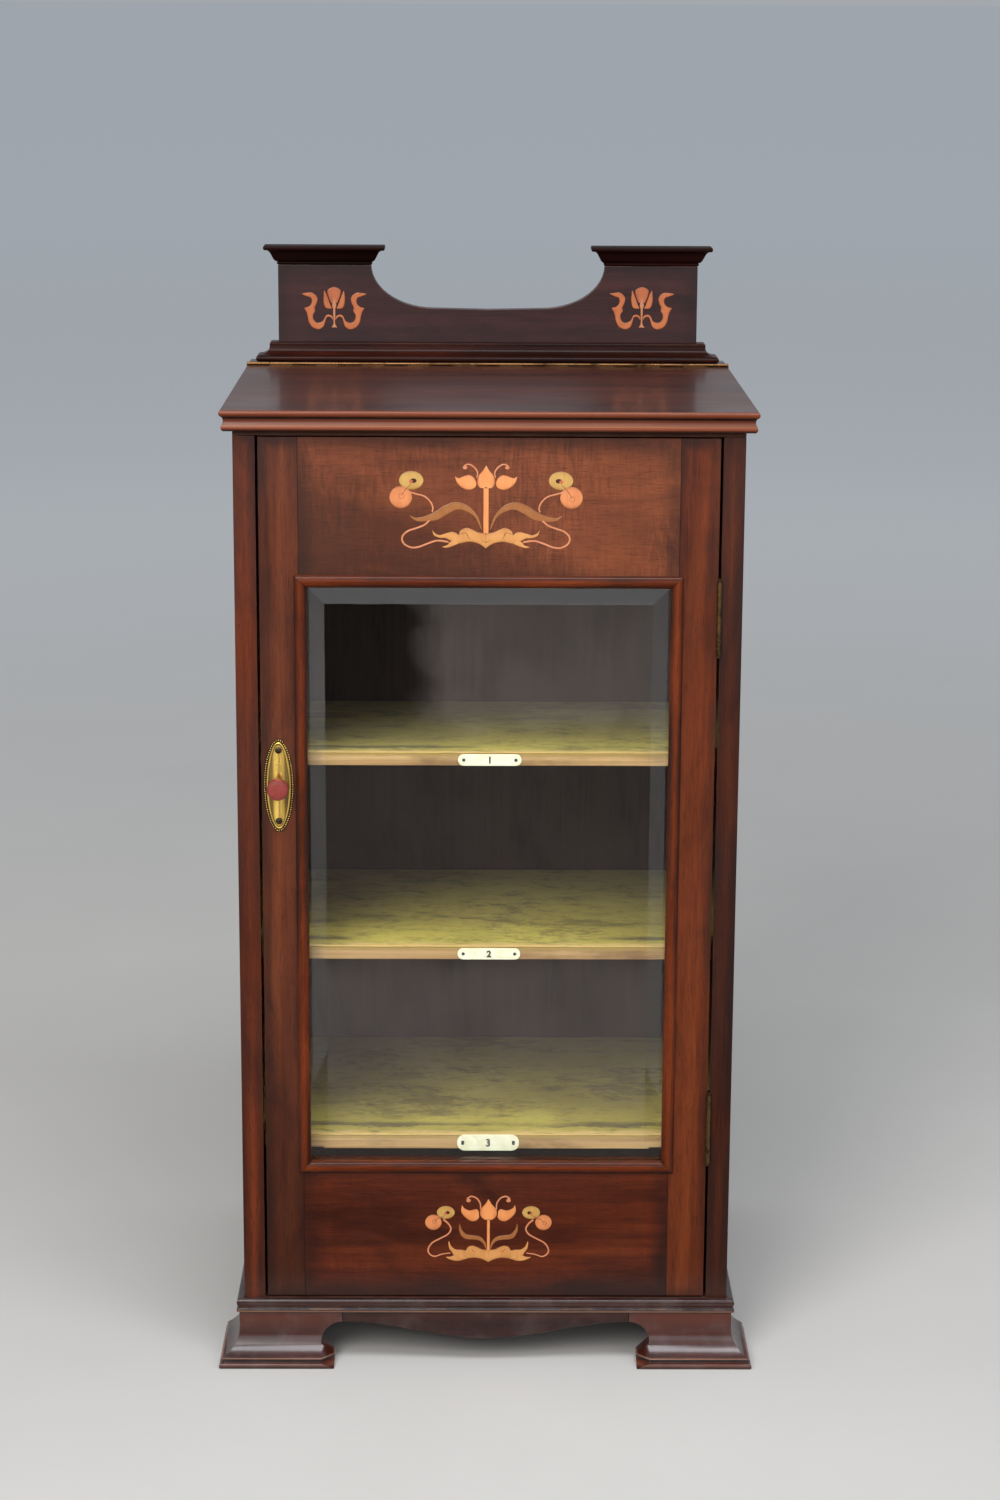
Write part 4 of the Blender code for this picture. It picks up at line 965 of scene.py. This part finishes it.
def seed_heads(green, peach, sizes, sign):
    """A green-yellow oval with a dark hollow, and a peach disc with a ring, where two stalks
    end. Both are given at the left, and sign is -1 for the right."""
    (gx, gz), (px, pz) = (np.array(place) * (sign, 1) for place in (green, peach))
    wide, tall, radius = sizes
    towards = np.array([gx - px, gz - pz]) / math.hypot(gx - px, gz - pz)
    joint = np.array([px, pz]) + towards * radius * 0.86
    ring = np.linspace(0, 2 * math.pi, 17)
    spot = np.array([px, pz]) + towards * radius * 0.16 * sign
    circle = np.stack([np.cos(ring), np.sin(ring)], -1) * radius * 0.24 + spot
    hook = [(gx + sign * 0.4, gz - 0.4), (gx - sign * 1.0, gz - tall * 0.45), joint]
    hollow = (gx + sign * wide * 0.18, gz - tall * 0.03)
    return [
        disc((gx, gz), wide, tall, SEED),
        disc(hollow, wide * 0.26, tall * 0.30, HOLLOW, 0.02),
        disc((gx - sign * 0.3, gz - tall * 0.10), wide * 0.17, tall * 0.20, PIP, 0.04),
        ribbon(hook, [0.5, 0.8, 1.2], HOOK, 16, 0.04),
        disc((px, pz), radius, radius, PEACH, 0.01),
        ribbon(circle, [0.42, 0.42], LINE, 24, 0.03),
        ribbon([spot, (spot + joint) / 2 + (0, 0.8), joint], [0.5, 0.7], LINE, 14, 0.03),
    ]


def on_axis(curve, tone, stations=40, lift=0.0, scorch=0.0):
    """A piece that the stem's axis halves: a strip from a curve to its mirror image."""
    return strip(curve, mirrored(curve), tone, stations, lift, scorch)


def both_sides(rows, heads=None):
    """The pieces of all rows on the left side, and then the same mirrored, each side with its
    seed heads where there are any."""
    pieces = []
    for sign, seen in ((1, list), (-1, mirrored)):
        pieces += [maker(*map(seen, curves), *rest) for maker, curves, *rest in rows]
        if heads:
            pieces += seed_heads(*heads, sign)
    return pieces


# %% The upper flower
UPPER_SIDE = [
    # the side petal, and the stamen over it with its head
    (strip, (
        [(-30.8, 56.7), (-27.2, 54.9), (-22.0, 56.8), (-16.8, 58.0), (-12.4, 55.6), (-10.1, 51.6),
         (-9.8, 48.6)],
        [(-30.7, 56.2), (-29.3, 51.0), (-25.3, 46.3), (-20.4, 43.7), (-15.6, 43.2), (-11.7, 45.0),
         (-9.9, 47.6)],
    ), LOTUS, 40, 0.0, 0.25),
    (ribbon, (
        [(-9.2, 55.2), (-8.5, 60.1), (-10.9, 64.7), (-15.5, 68.2), (-19.4, 68.4), (-22.2, 66.4)],
    ), [1.0, 1.5, 1.6, 1.5, 1.4], TENDRIL),
    (disc, ([(-20.9, 65.4)],), 2.2, 2.0, TENDRIL, 0.01),
    # the long leaf, and the stalks above and below it
    (ribbon, (
        [(-4.1, 3.1), (-10.1, 17.0), (-20.0, 24.9), (-29.9, 26.9), (-39.7, 22.9), (-49.6, 16.9),
         (-59.5, 14.1), (-69.3, 13.5), (-75.9, 17.3)],
    ), [0.9, 3, 6.6, 8.4, 9.4, 9.0, 5.8, 3.4, 0.5], LEAF, 90),
    (ribbon, (
        [(-76.9, 40.9), (-68.7, 38.7), (-61.4, 36.6), (-56.0, 32.1), (-52.9, 26.2), (-53.3, 20.9)],
    ), [1.8, 1.6, 1.6], TENDRIL),
    (ribbon, (
        [(-56.2, 12.4), (-61.4, 7.8), (-69.3, 4.6), (-77.3, 1.8), (-82.3, -2.5), (-83.4, -7.3),
         (-80.6, -11.9), (-74.0, -14.9), (-66.7, -14.2), (-57.5, -10.7), (-48.2, -7.9),
         (-37.0, -9.2)],
    ), [1.9, 1.9], TENDRIL, 110),
    # the scroll at the foot, its barb and the line cut into it
    (strip, (
        [(-53.4, 3.0), (-50.9, -0.2), (-46.0, -2.2), (-39.7, -0.4), (-33.7, 1.1), (-29.1, -0.4),
         (-26.9, -1.7), (-25.4, 2.3), (-19.2, 5.1), (-13.3, 3.3), (-8.1, 0.8), (0.0, -0.6)],
        [(-53.2, 1.8), (-51.4, -2.8), (-45.6, -5.1), (-40.6, -5.4), (-36.4, -7.4), (-33.0, -9.6),
         (-29.6, -10.8), (-24.4, -10.5), (-16.6, -9.0), (-8.6, -10.4), (-3.3, -13.2), (0.0, -15.8)],
    ), SCROLL, 90),
    (strip, (
        [(-43.4, -14.0), (-38.4, -12.2), (-36.2, -9.6), (-33.0, -7.8)],
        [(-43.2, -14.5), (-39.0, -15.1), (-33.1, -13.5), (-27.0, -10.9)],
    ), SCROLL, 30, 0.005),
    (ribbon, (
        [(-26.6, -1.8), (-24.0, -0.6), (-20.6, 0.2), (-18.6, -1.6), (-17.6, -4.6), (-15.8, -6.0)],
    ), [0.3, 0.6, 0.7, 0.5], LINE, 30, 0.02),
]
upper_bud = [(-0.15, 67.3), (-3.3, 62.4), (-7.6, 57.0), (-8.8, 51.4), (-7.9, 47.4), (-6.0, 44.8)]
upper_flower = [
    on_axis([(-2.7, 45.8), (-2.7, 22), (-2.7, -1)], LOTUS), on_axis(upper_bud, LOTUS, scorch=0.1),
]
upper_flower += both_sides(UPPER_SIDE, ((-74.2, 52.4), (-84.7, 35.5), (12.0, 9.4, 11.1)))
upper_vee = [(-4.2, -7.2), (0.0, -9.6), (4.4, -6.8)]
upper_flower.append(ribbon(upper_vee, [0.3, 0.5, 0.3], LINE, 20, 0.02))
print("upper flower:", len(upper_flower), "pieces")

# %% [markdown]
# The lower rail has a smaller flower on the same plan, with its petals turned up and its leaves
# bent back.

# %% The lower flower
LOWER_SIDE = [
    # the side petal, and the stamen over it with its head
    (strip, (
        [(-27.4, 50.0), (-25.2, 46.7), (-20.0, 44.4), (-15.4, 45.2), (-12.4, 45.8), (-10.2, 43.6)],
        [(-27.9, 49.6), (-28.6, 42.8), (-24.5, 36.8), (-18.2, 32.4), (-12.6, 33.0), (-9.6, 36.4)],
    ), LOTUS, 40, 0.0, 0.25),
    (ribbon, (
        [(-8.3, 45.4), (-8.7, 52.0), (-12.4, 57.8), (-18.2, 59.9), (-22.6, 57.2)],
    ), [1.4, 1.8, 1.7, 1.8], TENDRIL),
    (disc, ([(-20.9, 55.4)],), 2.3, 2.2, TENDRIL, 0.01),
    # the leaf and the stalk
    (ribbon, (
        [(-2.0, 1.1), (-4.4, 8.0), (-9.0, 12.6), (-15.6, 14.0), (-24.3, 15.4), (-29.2, 22.2),
         (-30.2, 29.4)],
    ), [0.9, 3, 4.4, 5.0, 5.4, 3.2, 0.4], LEAF, 60),
    (ribbon, (
        [(-39.8, -3.3), (-49.0, -4.8), (-56.3, -7.2), (-61.8, -4.3), (-63.1, 1.0), (-59.0, 7.9),
         (-50.9, 12.7), (-42.6, 17.6), (-39.3, 23.5), (-42.0, 29.3), (-47.2, 34.2)],
    ), [1.2, 1.7, 1.7, 1.7, 2.2], TENDRIL, 100),
    # the scroll at the foot, its barb and the line cut into it
    (strip, (
        [(-41.2, 9.6), (-38.6, 4.0), (-34.0, 0.6), (-28.6, 0.4), (-23.4, -0.2), (-21.4, 3.4),
         (-17.0, 5.0), (-11.9, 3.4), (-6.6, 0.8), (0.0, 0.2)],
        [(-42.0, 9.0), (-41.2, 2.2), (-38.0, -3.0), (-36.0, -6.8), (-30.8, -9.6), (-25.4, -9.8),
         (-15.2, -8.8), (-8.7, -9.6), (-3.6, -11.6), (0.0, -13.6)],
    ), SCROLL, 80),
    (strip, (
        [(-44.6, -7.6), (-40.4, -7.6), (-37.0, -6.4), (-32.0, -5.0)],
        [(-44.4, -8.4), (-38.1, -11.4), (-30.8, -12.2), (-22.0, -9.6)],
    ), SCROLL, 30, 0.005),
    (ribbon, ([(-17.6, 1.6), (-15.6, -1.4), (-13.2, -1.6)],), [0.4, 0.6, 0.3], LINE, 20, 0.02),
]
lower_bud = [(-0.15, 56.6), (-3.6, 51.2), (-7.4, 46.8), (-9.0, 42.2), (-7.8, 37.2), (-4.0, 33.8)]
lower_flower = [
    on_axis([(-1.5, 34.5), (-1.5, 17), (-1.5, -1)], LOTUS), on_axis(lower_bud, LOTUS, scorch=0.1),
]
lower_flower += both_sides(LOWER_SIDE, ((-44.7, 42.0), (-57.7, 31.0), (9.3, 7.3, 8.6)))
print("lower flower:", len(lower_flower), "pieces")

# %% [markdown]
# Each tower of the gallery has a tulip between two curled leaves. Its petals are separate pieces
# with a dark line of glue between them.

# %% The tulips
TULIP, PETAL, SPIKE = (196, 114, 66), (188, 107, 68), (200, 136, 98)
TULIP_SIDE = [
    # the outer petal, then the curled leaf
    (strip, (
        [(-11.2, 30.0), (-11.9, 21.2), (-11.3, 15.0), (-9.2, 10.8), (-4.4, 10.2), (-2.9, 10.4)],
        [(-10.6, 30.0), (-8.6, 26.0), (-6.4, 20.2), (-4.6, 15.2), (-3.6, 12.4), (-2.7, 11.2)],
    ), TULIP, 40, 0.006, 0.15),
    (strip, (
        [(-35.9, 26.9), (-30.1, 27.8), (-24.9, 27.9), (-20.8, 25.4), (-18.5, 21.2), (-19.6, 16.0),
         (-21.6, 11.3), (-21.2, 7.6), (-23.6, 3.4), (-23.3, -1.3), (-20.7, -4.8), (-17.0, -5.4),
         (-12.9, -3.6), (-11.2, -0.8), (-9.1, 2.8), (-6.0, 3.6), (-2.8, 2.4), (-1.3, 0.2)],
        [(-35.6, 26.2), (-30.1, 23.8), (-26.2, 22.3), (-24.9, 19.1), (-25.9, 14.9), (-29.4, 11.9),
         (-33.4, 10.8), (-31.2, 6.6), (-29.6, 1.3), (-28.6, -3.9), (-24.9, -10.1), (-17.8, -12.8),
         (-12.5, -10.2), (-10.6, -5.6), (-9.0, -0.4), (-6.3, 1.3), (-3.6, 0.2), (-1.4, -2.6)],
    ), TULIP, 100, 0.0, 0.2),
]
crown = [(-4.4, 33.0), (-7.4, 30.2), (-7.2, 26.5), (-5.2, 20.6), (-3.4, 16.4)]
spike = [
    (-0.1, 22.6), (-1.8, 17.4), (-2.5, 13.0), (-1.4, 10.4), (-1.2, 4.0), (-1.0, -6.0),
    (-3.4, -10.8),
]
tulip = [strip([(-0.2, 34.2)] + crown, [(0.1, 34.2)] + mirrored(crown), PETAL, scorch=0.2)]
tulip += both_sides(TULIP_SIDE) + [on_axis(spike, SPIKE, 60, 0.02)]
print("tulip:", len(tulip), "pieces")

# %% [markdown]
# One material serves all the inlay. It reads the tone and the scorch that each point carries,
# adds a fine grain, and takes the same old polish as the boards.

# %% Inlay material
inlay_material, tree, shader = blank("inlay_veneers")
place = object_place(tree)
figure = noise(tree, place, (260.0, 260.0, 36.0), 3.0, 0.6, 0.4)
cloudy = noise(tree, place, 75.0)
tone = blend(tree, 1.0, attribute(tree, "tone", "Color"), (0.82, 0.78, 0.74, 1.0), "MULTIPLY")
darker = blend(tree, 1.0, tone, (0.74, 0.60, 0.46, 1.0), "MULTIPLY")
scorched = blend(tree, 1.0, tone, (0.30, 0.16, 0.10, 1.0), "MULTIPLY")
colour = blend(tree, ramp(tree, figure, 0.40, 0.80, 0.0, 0.45), tone, darker)
colour = blend(tree, ramp(tree, cloudy, 0.42, 0.70, 0.0, 0.40), colour, darker)
scorch_share = product(tree, calc(tree, "POWER", attribute(tree, "burn"), 1.6), 0.75)
fill(
    tree, shader,
    {
        "Base Color": blend(tree, scorch_share, colour, scorched),
        "Roughness": ramp(tree, figure, 0.2, 0.8, 0.34, 0.46), "Coat Weight": 0.25,
        "Coat Roughness": 0.12, "Specular IOR Level": 0.35,
    },
)
print("inlay material:", inlay_material.name)

# %% Inlay objects


def meshed(points, faces, **fields):
    """A mesh from an array of points and a list of faces, with an array for each field."""
    mesh = bpy.data.meshes.new("mesh")
    mesh.from_pydata(np.reshape(points, (-1, 3)).tolist(), [], faces)
    for name, values in fields.items():
        carry(mesh, name, values)
    return mesh


def facing_out(mesh):
    """Turns every closed part of a mesh to face outwards."""
    shape = bmesh.new()
    shape.from_mesh(mesh)
    bmesh.ops.recalc_face_normals(shape, faces=shape.faces)
    shape.to_mesh(mesh)
    shape.free()
    return mesh


def inlay(name, pieces, foot, body):
    """Joins the pieces into one mesh and lays it on a face that looks to -Y; foot is the place
    of the stem's foot on that face."""
    points, tones, burns = (np.concatenate([piece[i] for piece in pieces]) for i in (0, 2, 3))
    starts = np.cumsum([0] + [len(piece[0]) for piece in pieces]).tolist()
    faces = [[i + start for i in face] for piece, start in zip(pieces, starts) for face in piece[1]]
    mesh = meshed(np.array(foot) + points * MM * (1, -1, 1), faces, tone=tones, burn=burns)
    shown(name, facing_out(mesh), inlay_material, body)
    print(name, "pieces:", len(pieces), "faces:", len(mesh.polygons))


door_face_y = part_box("top_rail")[0].y
gallery_face_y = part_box("gallery_board")[0].y
inlay("upper_rail_inlay", upper_flower, (-0.0031, door_face_y, 0.8855), "door")
inlay("lower_rail_inlay", lower_flower, (0.0026, door_face_y, 0.1235), "door")
inlay("left_tower_inlay", tulip, (-0.1713, gallery_face_y, 1.0552), "cabinet")
inlay("right_tower_inlay", tulip, (0.1718, gallery_face_y, 1.0566), "cabinet")

# %% [markdown]
# ## The handle
#
# The plate is one surface in two shares: round its oval outline and inwards from its edge. Its
# height follows a profile of the distance from the edge: a flat border that carries a row of
# beads, a groove, a raised rim, and then the field, which has an upright ridge down the middle
# that catches the light. Away from the ridge the field's flanks are painted dull and dark, as
# painted shade. Its inner rings turn from an oval to the round hole of the spindle.

# %% Handle plate
plate_low, plate_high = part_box("handle_plate")
plate_middle = (plate_low + plate_high) / 2
plate_back = plate_high.y
plate_half = np.array([plate_high.x - plate_low.x, plate_high.z - plate_low.z]) / 2
hole_radius, ridge_width, flank_shade_start, flank_shade_width = 3.4 * MM, 3.2 * MM, 3.4 * MM, 3.0 * MM
around = np.linspace(0, 2 * math.pi, 120, endpoint=False)

INSET_MM = np.array([0.0, 0.0, 0.25, 1.2, 2.15, 2.5, 2.9, 3.2, 3.7, 4.3, 4.8, 5.2, 5.5])
RISE_MM = np.array([0.0, 0.75, 1.0, 1.05, 1.0, 0.75, 0.75, 1.3, 2.0, 2.2, 1.9, 1.3, 1.1])
SOIL = np.array([1.0, 1.0, 1.0, 1.0, 1.0, 1.0, 1.0, 0.7, 0.1, 0.0, 0.1, 0.8, 0.9])


def oval(half, turn, point=0.06):
    """(x, z) of an oval whose ends are a little pointed: x = a sin t (1 - p cos^2 t)."""
    x = half[..., :1] * np.sin(turn) * (1 - point * np.cos(turn) ** 2)
    return np.stack([x, half[..., 1:] * np.cos(turn)], -1)


def all_round(values):
    """The same value all round each ring."""
    return np.tile(np.reshape(values, (-1, 1)), (1, len(around)))


def on_plate(flat, rise_mm):
    """Points from (x, z) on the plate and the height in mm above its back."""
    x, z = plate_middle.x + flat[..., 0], plate_middle.z + flat[..., 1]
    return np.stack([x, plate_back - rise_mm * MM, z], -1)


border = oval(plate_half - INSET_MM[:, None] * MM, around)
inward = np.linspace(0, 1, 12)[1:, None, None]
hole = oval(np.array([[hole_radius, hole_radius]]), around, 0.0)
field = (1 - inward) * border[-1][None] + inward * hole
aside = np.abs(field[..., 0])
ridge = 0.9 * np.exp(-((aside / ridge_width) ** 2)) + 0.9
ridge = (ridge - 1.1) * np.minimum(1, inward[..., 0] * 5) + 1.1
# painted shade: the field's flanks turn to dull dark tarnish away from the ridge
flank_shade = 0.82 * np.clip((aside - flank_shade_start) / flank_shade_width, 0, 1) + 0.02
rise = np.concatenate([all_round(RISE_MM), ridge, all_round(0.0)])
soil = np.concatenate([all_round(SOIL), flank_shade, all_round(1.0)])
plate_points = on_plate(np.concatenate([border, field, hole]), rise)
rows, columns = rise.shape
first_row = np.arange(columns)
last_row = (rows - 1) * columns + first_row
closing = np.stack([last_row, np.roll(last_row, -1), np.roll(first_row, -1), first_row], -1)
plate_faces = np.concatenate([grid_faces(rows, columns, True), closing]).tolist()
plate_mesh = facing_out(meshed(plate_points, plate_faces, soil=soil))
plate = shown("beaded_handle_plate", plate_mesh, gilt_brass, "door")
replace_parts(plate, "handle_plate")
print("plate faces:", len(plate_mesh.polygons))

# %% [markdown]
# The beads are small domes, the same few faces repeated round the border by adding each dome's
# points to each bead's centre in one array sum. The screws' heads are domes too.

# %% Beads and screws


def domes(name, centres, radius, height, material, body, turns=8, rings=3):
    """A piece of equal domes that look to -Y: a point is centre + radius (cos a sin b,
    sin a sin b) across and height cos b outwards, for all centres at once. Each is closed by a
    flat back."""
    a = np.linspace(0, 2 * math.pi, turns, endpoint=False)
    b = np.linspace(math.pi / 2, 0.0, rings + 1)[:-1, None]
    out = np.broadcast_to(-np.cos(b) * height, (rings, turns))
    ring = np.stack([np.sin(b) * np.cos(a) * radius, out, np.sin(b) * np.sin(a) * radius], -1)
    one = np.concatenate([ring.reshape(-1, 3), [[0.0, -height, 0.0]]])
    faces = grid_faces(rings, turns, True).tolist()
    top = (rings - 1) * turns
    faces += [[top + i, top + (i + 1) % turns, rings * turns] for i in range(turns)]
    faces.append(list(range(turns))[::-1])
    points = (np.asarray(centres)[:, None] + one).reshape(-1, 3)
    shifts = (np.arange(len(centres)) * len(one)).tolist()
    all_faces = [[i + shift for i in face] for shift in shifts for face in faces]
    mesh = facing_out(meshed(points, all_faces, soil=np.zeros(len(points))))
    shown(name, mesh, material, body, False)
    print(name, "domes:", len(centres))


bead_count, bead_inset_mm, bead_rise_mm = 86, 1.2, 1.00
screw_reach, screw_rise_mm = 36.8 * MM, 1.7
fine = oval(plate_half - bead_inset_mm * MM, np.linspace(0, 2 * math.pi, 2001)[:, None])[:, 0]
length = np.append(0, np.cumsum(np.linalg.norm(np.diff(fine, axis=0), axis=1)))
spaced = np.linspace(0, length[-1], bead_count, endpoint=False)
bead_flat = np.stack([np.interp(spaced, length, fine[:, i]) for i in (0, 1)], -1)
bead_places = on_plate(bead_flat, np.full(bead_count, bead_rise_mm))
screw_places = on_plate(np.array([(0, screw_reach), (0, -screw_reach)]), np.full(2, screw_rise_mm))
domes("handle_plate_beads", bead_places, 0.74 * MM, 0.78 * MM, gilt_brass, "door")
domes("handle_plate_screws", screw_places, 3.5 * MM, 1.4 * MM, screw_metal, "door", 24, 5)

# %% [markdown]
# The knob is turned: a profile of radius against distance from the door, carried round its axis.
# A shallow ring is cut in its face. The tongue behind it is the solid itself, eased.

# %% Knob and latch
knob_low, knob_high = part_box("knob")
knob_middle = (knob_low + knob_high) / 2
knob_length = knob_high.y - knob_low.y
knob_radius = (knob_high.x - knob_low.x) / 2
SHAPE = np.array(
    [
        (0.31, 0.00), (0.56, 0.00), (0.50, 0.10), (0.47, 0.20), (0.52, 0.29), (0.70, 0.37),
        (0.90, 0.46), (0.985, 0.56), (1.00, 0.68), (0.99, 0.80), (0.965, 0.90), (0.92, 0.962),
        (0.86, 0.985), (0.845, 0.972), (0.80, 0.970), (0.785, 0.985), (0.60, 0.995), (0.30, 1.00),
        (0.04, 1.00),
    ]
)
SOIL_AT = [0, 4, 6, 11, 12, 13, 14, 15, 18]
SOIL_THERE = [0.8, 0.7, 0.1, 0, 0.1, 0.5, 0.5, 0.1, 0]
turn = np.linspace(0, 2 * math.pi, 56, endpoint=False)
rings, turns = len(SHAPE), len(turn)
knob_points = np.stack(
    [
        knob_middle.x + knob_radius * SHAPE[:, :1] * np.cos(turn),
        np.broadcast_to(knob_high.y - knob_length * SHAPE[:, 1:], (rings, turns)),
        knob_middle.z + knob_radius * SHAPE[:, :1] * np.sin(turn),
    ],
    -1,
)
knob_faces = grid_faces(rings, turns, True).tolist()
knob_faces += [list(range(turns)), list(range((rings - 1) * turns, rings * turns))]
knob_soil = np.repeat(np.interp(np.arange(rings), SOIL_AT, SOIL_THERE), turns)
knob_mesh = facing_out(meshed(knob_points, knob_faces, soil=knob_soil))
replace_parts(shown("turned_knob", knob_mesh, terracotta, "latch"), "knob")


def dress_small(node, body, material, ease=0.00015):
    """A dressed copy of a small node without grain that stands for it."""
    mesh, _ = eased_mesh(node, ease, 50.0)
    carry(mesh, "soil", np.zeros(len(mesh.vertices)))
    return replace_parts(shown("dressed_" + node, mesh, material, body), node)


dress_small("latch_tongue", "latch", aged_brass, 0.0002)
print("knob and latch made")

# %% [markdown]
# ## Hinges
#
# The door hangs on two butt hinges of browned brass, and the lid on one long hinge, whose
# knuckles show as a broken line of bright brass along the back of the lid.

# %% Hinges
for level_name in ("upper", "lower"):
    dress_small(f"{level_name}_hinge_frame_leaf", "cabinet", aged_brass)
    dress_small(f"{level_name}_hinge_pin", "cabinet", aged_brass)
    dress_small(f"{level_name}_hinge_door_leaf", "door", aged_brass)
for part, body in (("fixed_leaf", "cabinet"), ("pin", "cabinet"), ("moving_leaf", "lid")):
    dress_small("lid_hinge_" + part, body, strip_brass, 0.0001)
print("hinges dressed")

# %% [markdown]
# ## Baize
#
# Each shelf is lined with green baize that has gone yellow, with brown stains that run mostly
# along the shelf. A cloth that is glued down is a nearly flat sheet, so it is a grid over the
# shelf: its height is a sum of slow waves, seeded, and its front edge wanders because it is
# frayed. Solidify gives it its thickness downwards.
#
# The pattern reads the attribute cloth, which is the place along the shelf, the distance from
# its front edge, and a shift that makes each cloth another piece of the same stuff.

# %% Worn baize
baize_material, tree, shader = blank("worn_baize")
worn = attribute(tree, "cloth", "Vector")
depth = split(tree, worn)[1]
nap = noise(tree, object_place(tree), 900.0, 3.0, 0.7)
blotch = noise(tree, worn, (9.0, 12.0, 9.0), 10.0, 0.80, 0.2)
ragged = noise(tree, worn, (24.0, 46.0, 26.0), 9.0, 0.80, 0.2)
speck = noise(tree, worn, (80.0, 190.0, 110.0), 5.0, 0.75)
fade = noise(tree, worn, 6.0, 3.0, 0.5, 0.3)
# painted shade: the cloth turns darker and more olive towards the back of the shelf
back_shade = ramp(tree, depth, 0.08, 0.38, 0.0, 0.50, "LINEAR")
colour = laid(tree, linear(182, 160, 58), (158, 138, 40), fade, 0.35, 0.65)
colour = blend(tree, back_shade, colour, linear(126, 110, 18))
colour = laid(tree, colour, (104, 86, 26), speck, 0.50, 0.68, 0.55)
colour = laid(tree, colour, (104, 86, 8), ragged, 0.51, 0.64, 0.74)
colour = laid(tree, colour, (98, 80, 10), blotch, 0.50, 0.61, 0.76)
streak = calc(tree, "MULTIPLY_ADD", ragged, 0.060, depth)
front_streak = product(
    tree, ramp(tree, streak, 0.056, 0.064), ramp(tree, streak, 0.070, 0.082, 1.0, 0.0),
    ramp(tree, fade, 0.44, 0.58, 0.0, 0.90),
)
colour = blend(tree, front_streak, colour, linear(66, 46, 12))
bare = ramp(tree, speck, 0.30, 0.55, 0.3, 0.9)
front_wear = product(tree, ramp(tree, streak, 0.034, 0.050, 1.0, 0.0), bare)
colour = blend(tree, front_wear, colour, linear(200, 160, 104))
colour = laid(tree, colour, (196, 180, 90), nap, 0.35, 0.75, 0.18)
fill(
    tree, shader,
    {
        "Base Color": colour, "Normal": bump(tree, nap, 0.5, 0.0004), "Roughness": 0.95,
        "Specular IOR Level": 0.1, "Sheen Weight": 0.10, "Sheen Roughness": 0.5,
    },
)
print("baize:", baize_material.name)

# %% Cloth on the shelves


def wander(places, strength, waves, least, most):
    """A sum of sine waves with random lengths, directions and starts, seeded by the draw."""
    lengths = draw.uniform(least, most, waves)
    angles, starts = draw.uniform(0, 2 * math.pi, (2, waves))
    headings = np.stack([np.cos(angles), np.sin(angles)]) / lengths
    return strength * np.sin(2 * math.pi * places @ headings + starts).mean(-1)


cloth_thickness = 1.0 * MM
front_gap, back_gap, sunk, settled = 0.6 * MM, 0.4 * MM, 0.1 * MM, 0.12 * MM
u, v = np.meshgrid(np.linspace(0, 1, 140), np.linspace(0, 1, 100), indexing="ij")
for level_name in LEVELS:
    low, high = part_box(level_name + "_baize")
    corners = places(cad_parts[level_name + "_baize"].data)
    front_top = corners[corners[:, 1] < low.y + MM][:, 2].max()
    back_top = corners[corners[:, 1] > high.y - MM][:, 2].max()
    x = low.x + (high.x - low.x) * u
    along_front = np.stack([x[:, 0], x[:, 0] * 0], -1)
    frayed = low.y + front_gap + wander(along_front, 1.1 * MM, 9, 4 * MM, 50 * MM)
    y = frayed[:, None] + (high.y - back_gap - frayed[:, None]) * v
    slope = (back_top - front_top) / (high.y - low.y)
    z = front_top + slope * (y - low.y) - sunk
    z = z + wander(np.stack([x, y], -1), 0.22 * MM, 14, 20 * MM, 120 * MM) - settled
    shift = draw.uniform(-4, 4)
    worn_places = np.stack([x + shift, y - low.y, x * 0 + shift], -1)
    cloth_faces = grid_faces(*u.shape)[:, ::-1].tolist()
    cloth_mesh = meshed(np.stack([x, y, z], -1), cloth_faces, cloth=worn_places)
    name = level_name + "_shelf_baize"
    cloth = shown(name, cloth_mesh, baize_material, "cabinet", False)
    solid = cloth.modifiers.new("thickness", "SOLIDIFY")
    solid.thickness, solid.offset = cloth_thickness, -1.0
    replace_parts(cloth, level_name + "_baize")
    print(cloth.name, "slope", round(float(slope), 4))

# %% [markdown]
# ## Shelf labels
#
# Each shelf has a small ivory-coloured plate with round ends, held by two dark pins, and a plain
# number on it. The number is cut in and filled with black, so it is a thin dark piece that
# stands a hair above the plate.

# %% Numbers


def number_mesh(number, centre, height, out, swell):
    """A number as a mesh that looks to -Y, with the middle of its box at the centre. swell makes
    its strokes bolder, and out is half its thickness."""
    text = bpy.data.curves.new("figure", "FONT")
    text.body, text.size, text.extrude, text.offset = str(number), height, out, swell
    writing = bpy.data.objects.new("figure", text)
    bpy.context.scene.collection.objects.link(writing)
    bpy.context.view_layer.update()
    mesh = bpy.data.meshes.new_from_object(writing)
    bpy.data.objects.remove(writing)
    points = places(mesh)
    points = (points - (points.min(0) + points.max(0)) / 2)[:, (0, 2, 1)] * (1, -1, 1) + centre
    mesh.vertices.foreach_set("co", points.astype(np.float32).ravel())
    mesh.materials.clear()
    carry(mesh, "soil", np.zeros(len(points)))
    return facing_out(mesh)


# %% Labels
pin_inset, pin_sunk, number_lift = 5.8 * MM, 0.05 * MM, 0.02 * MM
for number, level_name in enumerate(reversed(LEVELS), 1):
    label = level_name + "_label"
    dress_small(label, "cabinet", ivory, 0.00035)
    low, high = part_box(label)
    centre = (low + high) / 2
    reach = (high.x - low.x) / 2 - pin_inset
    pins = [(centre.x + sign * reach, low.y + pin_sunk, centre.z) for sign in (-1, 1)]
    domes(label + "_pins", pins, 1.8 * MM, 0.6 * MM, ink, "cabinet", 16, 3)
    place = (centre.x, low.y - number_lift, centre.z)
    mesh = number_mesh(number, place, height=9.5 * MM, out=0.06 * MM, swell=0.42 * MM)
    shown(label + "_number", mesh, ink, "cabinet", False)
print("labels made")
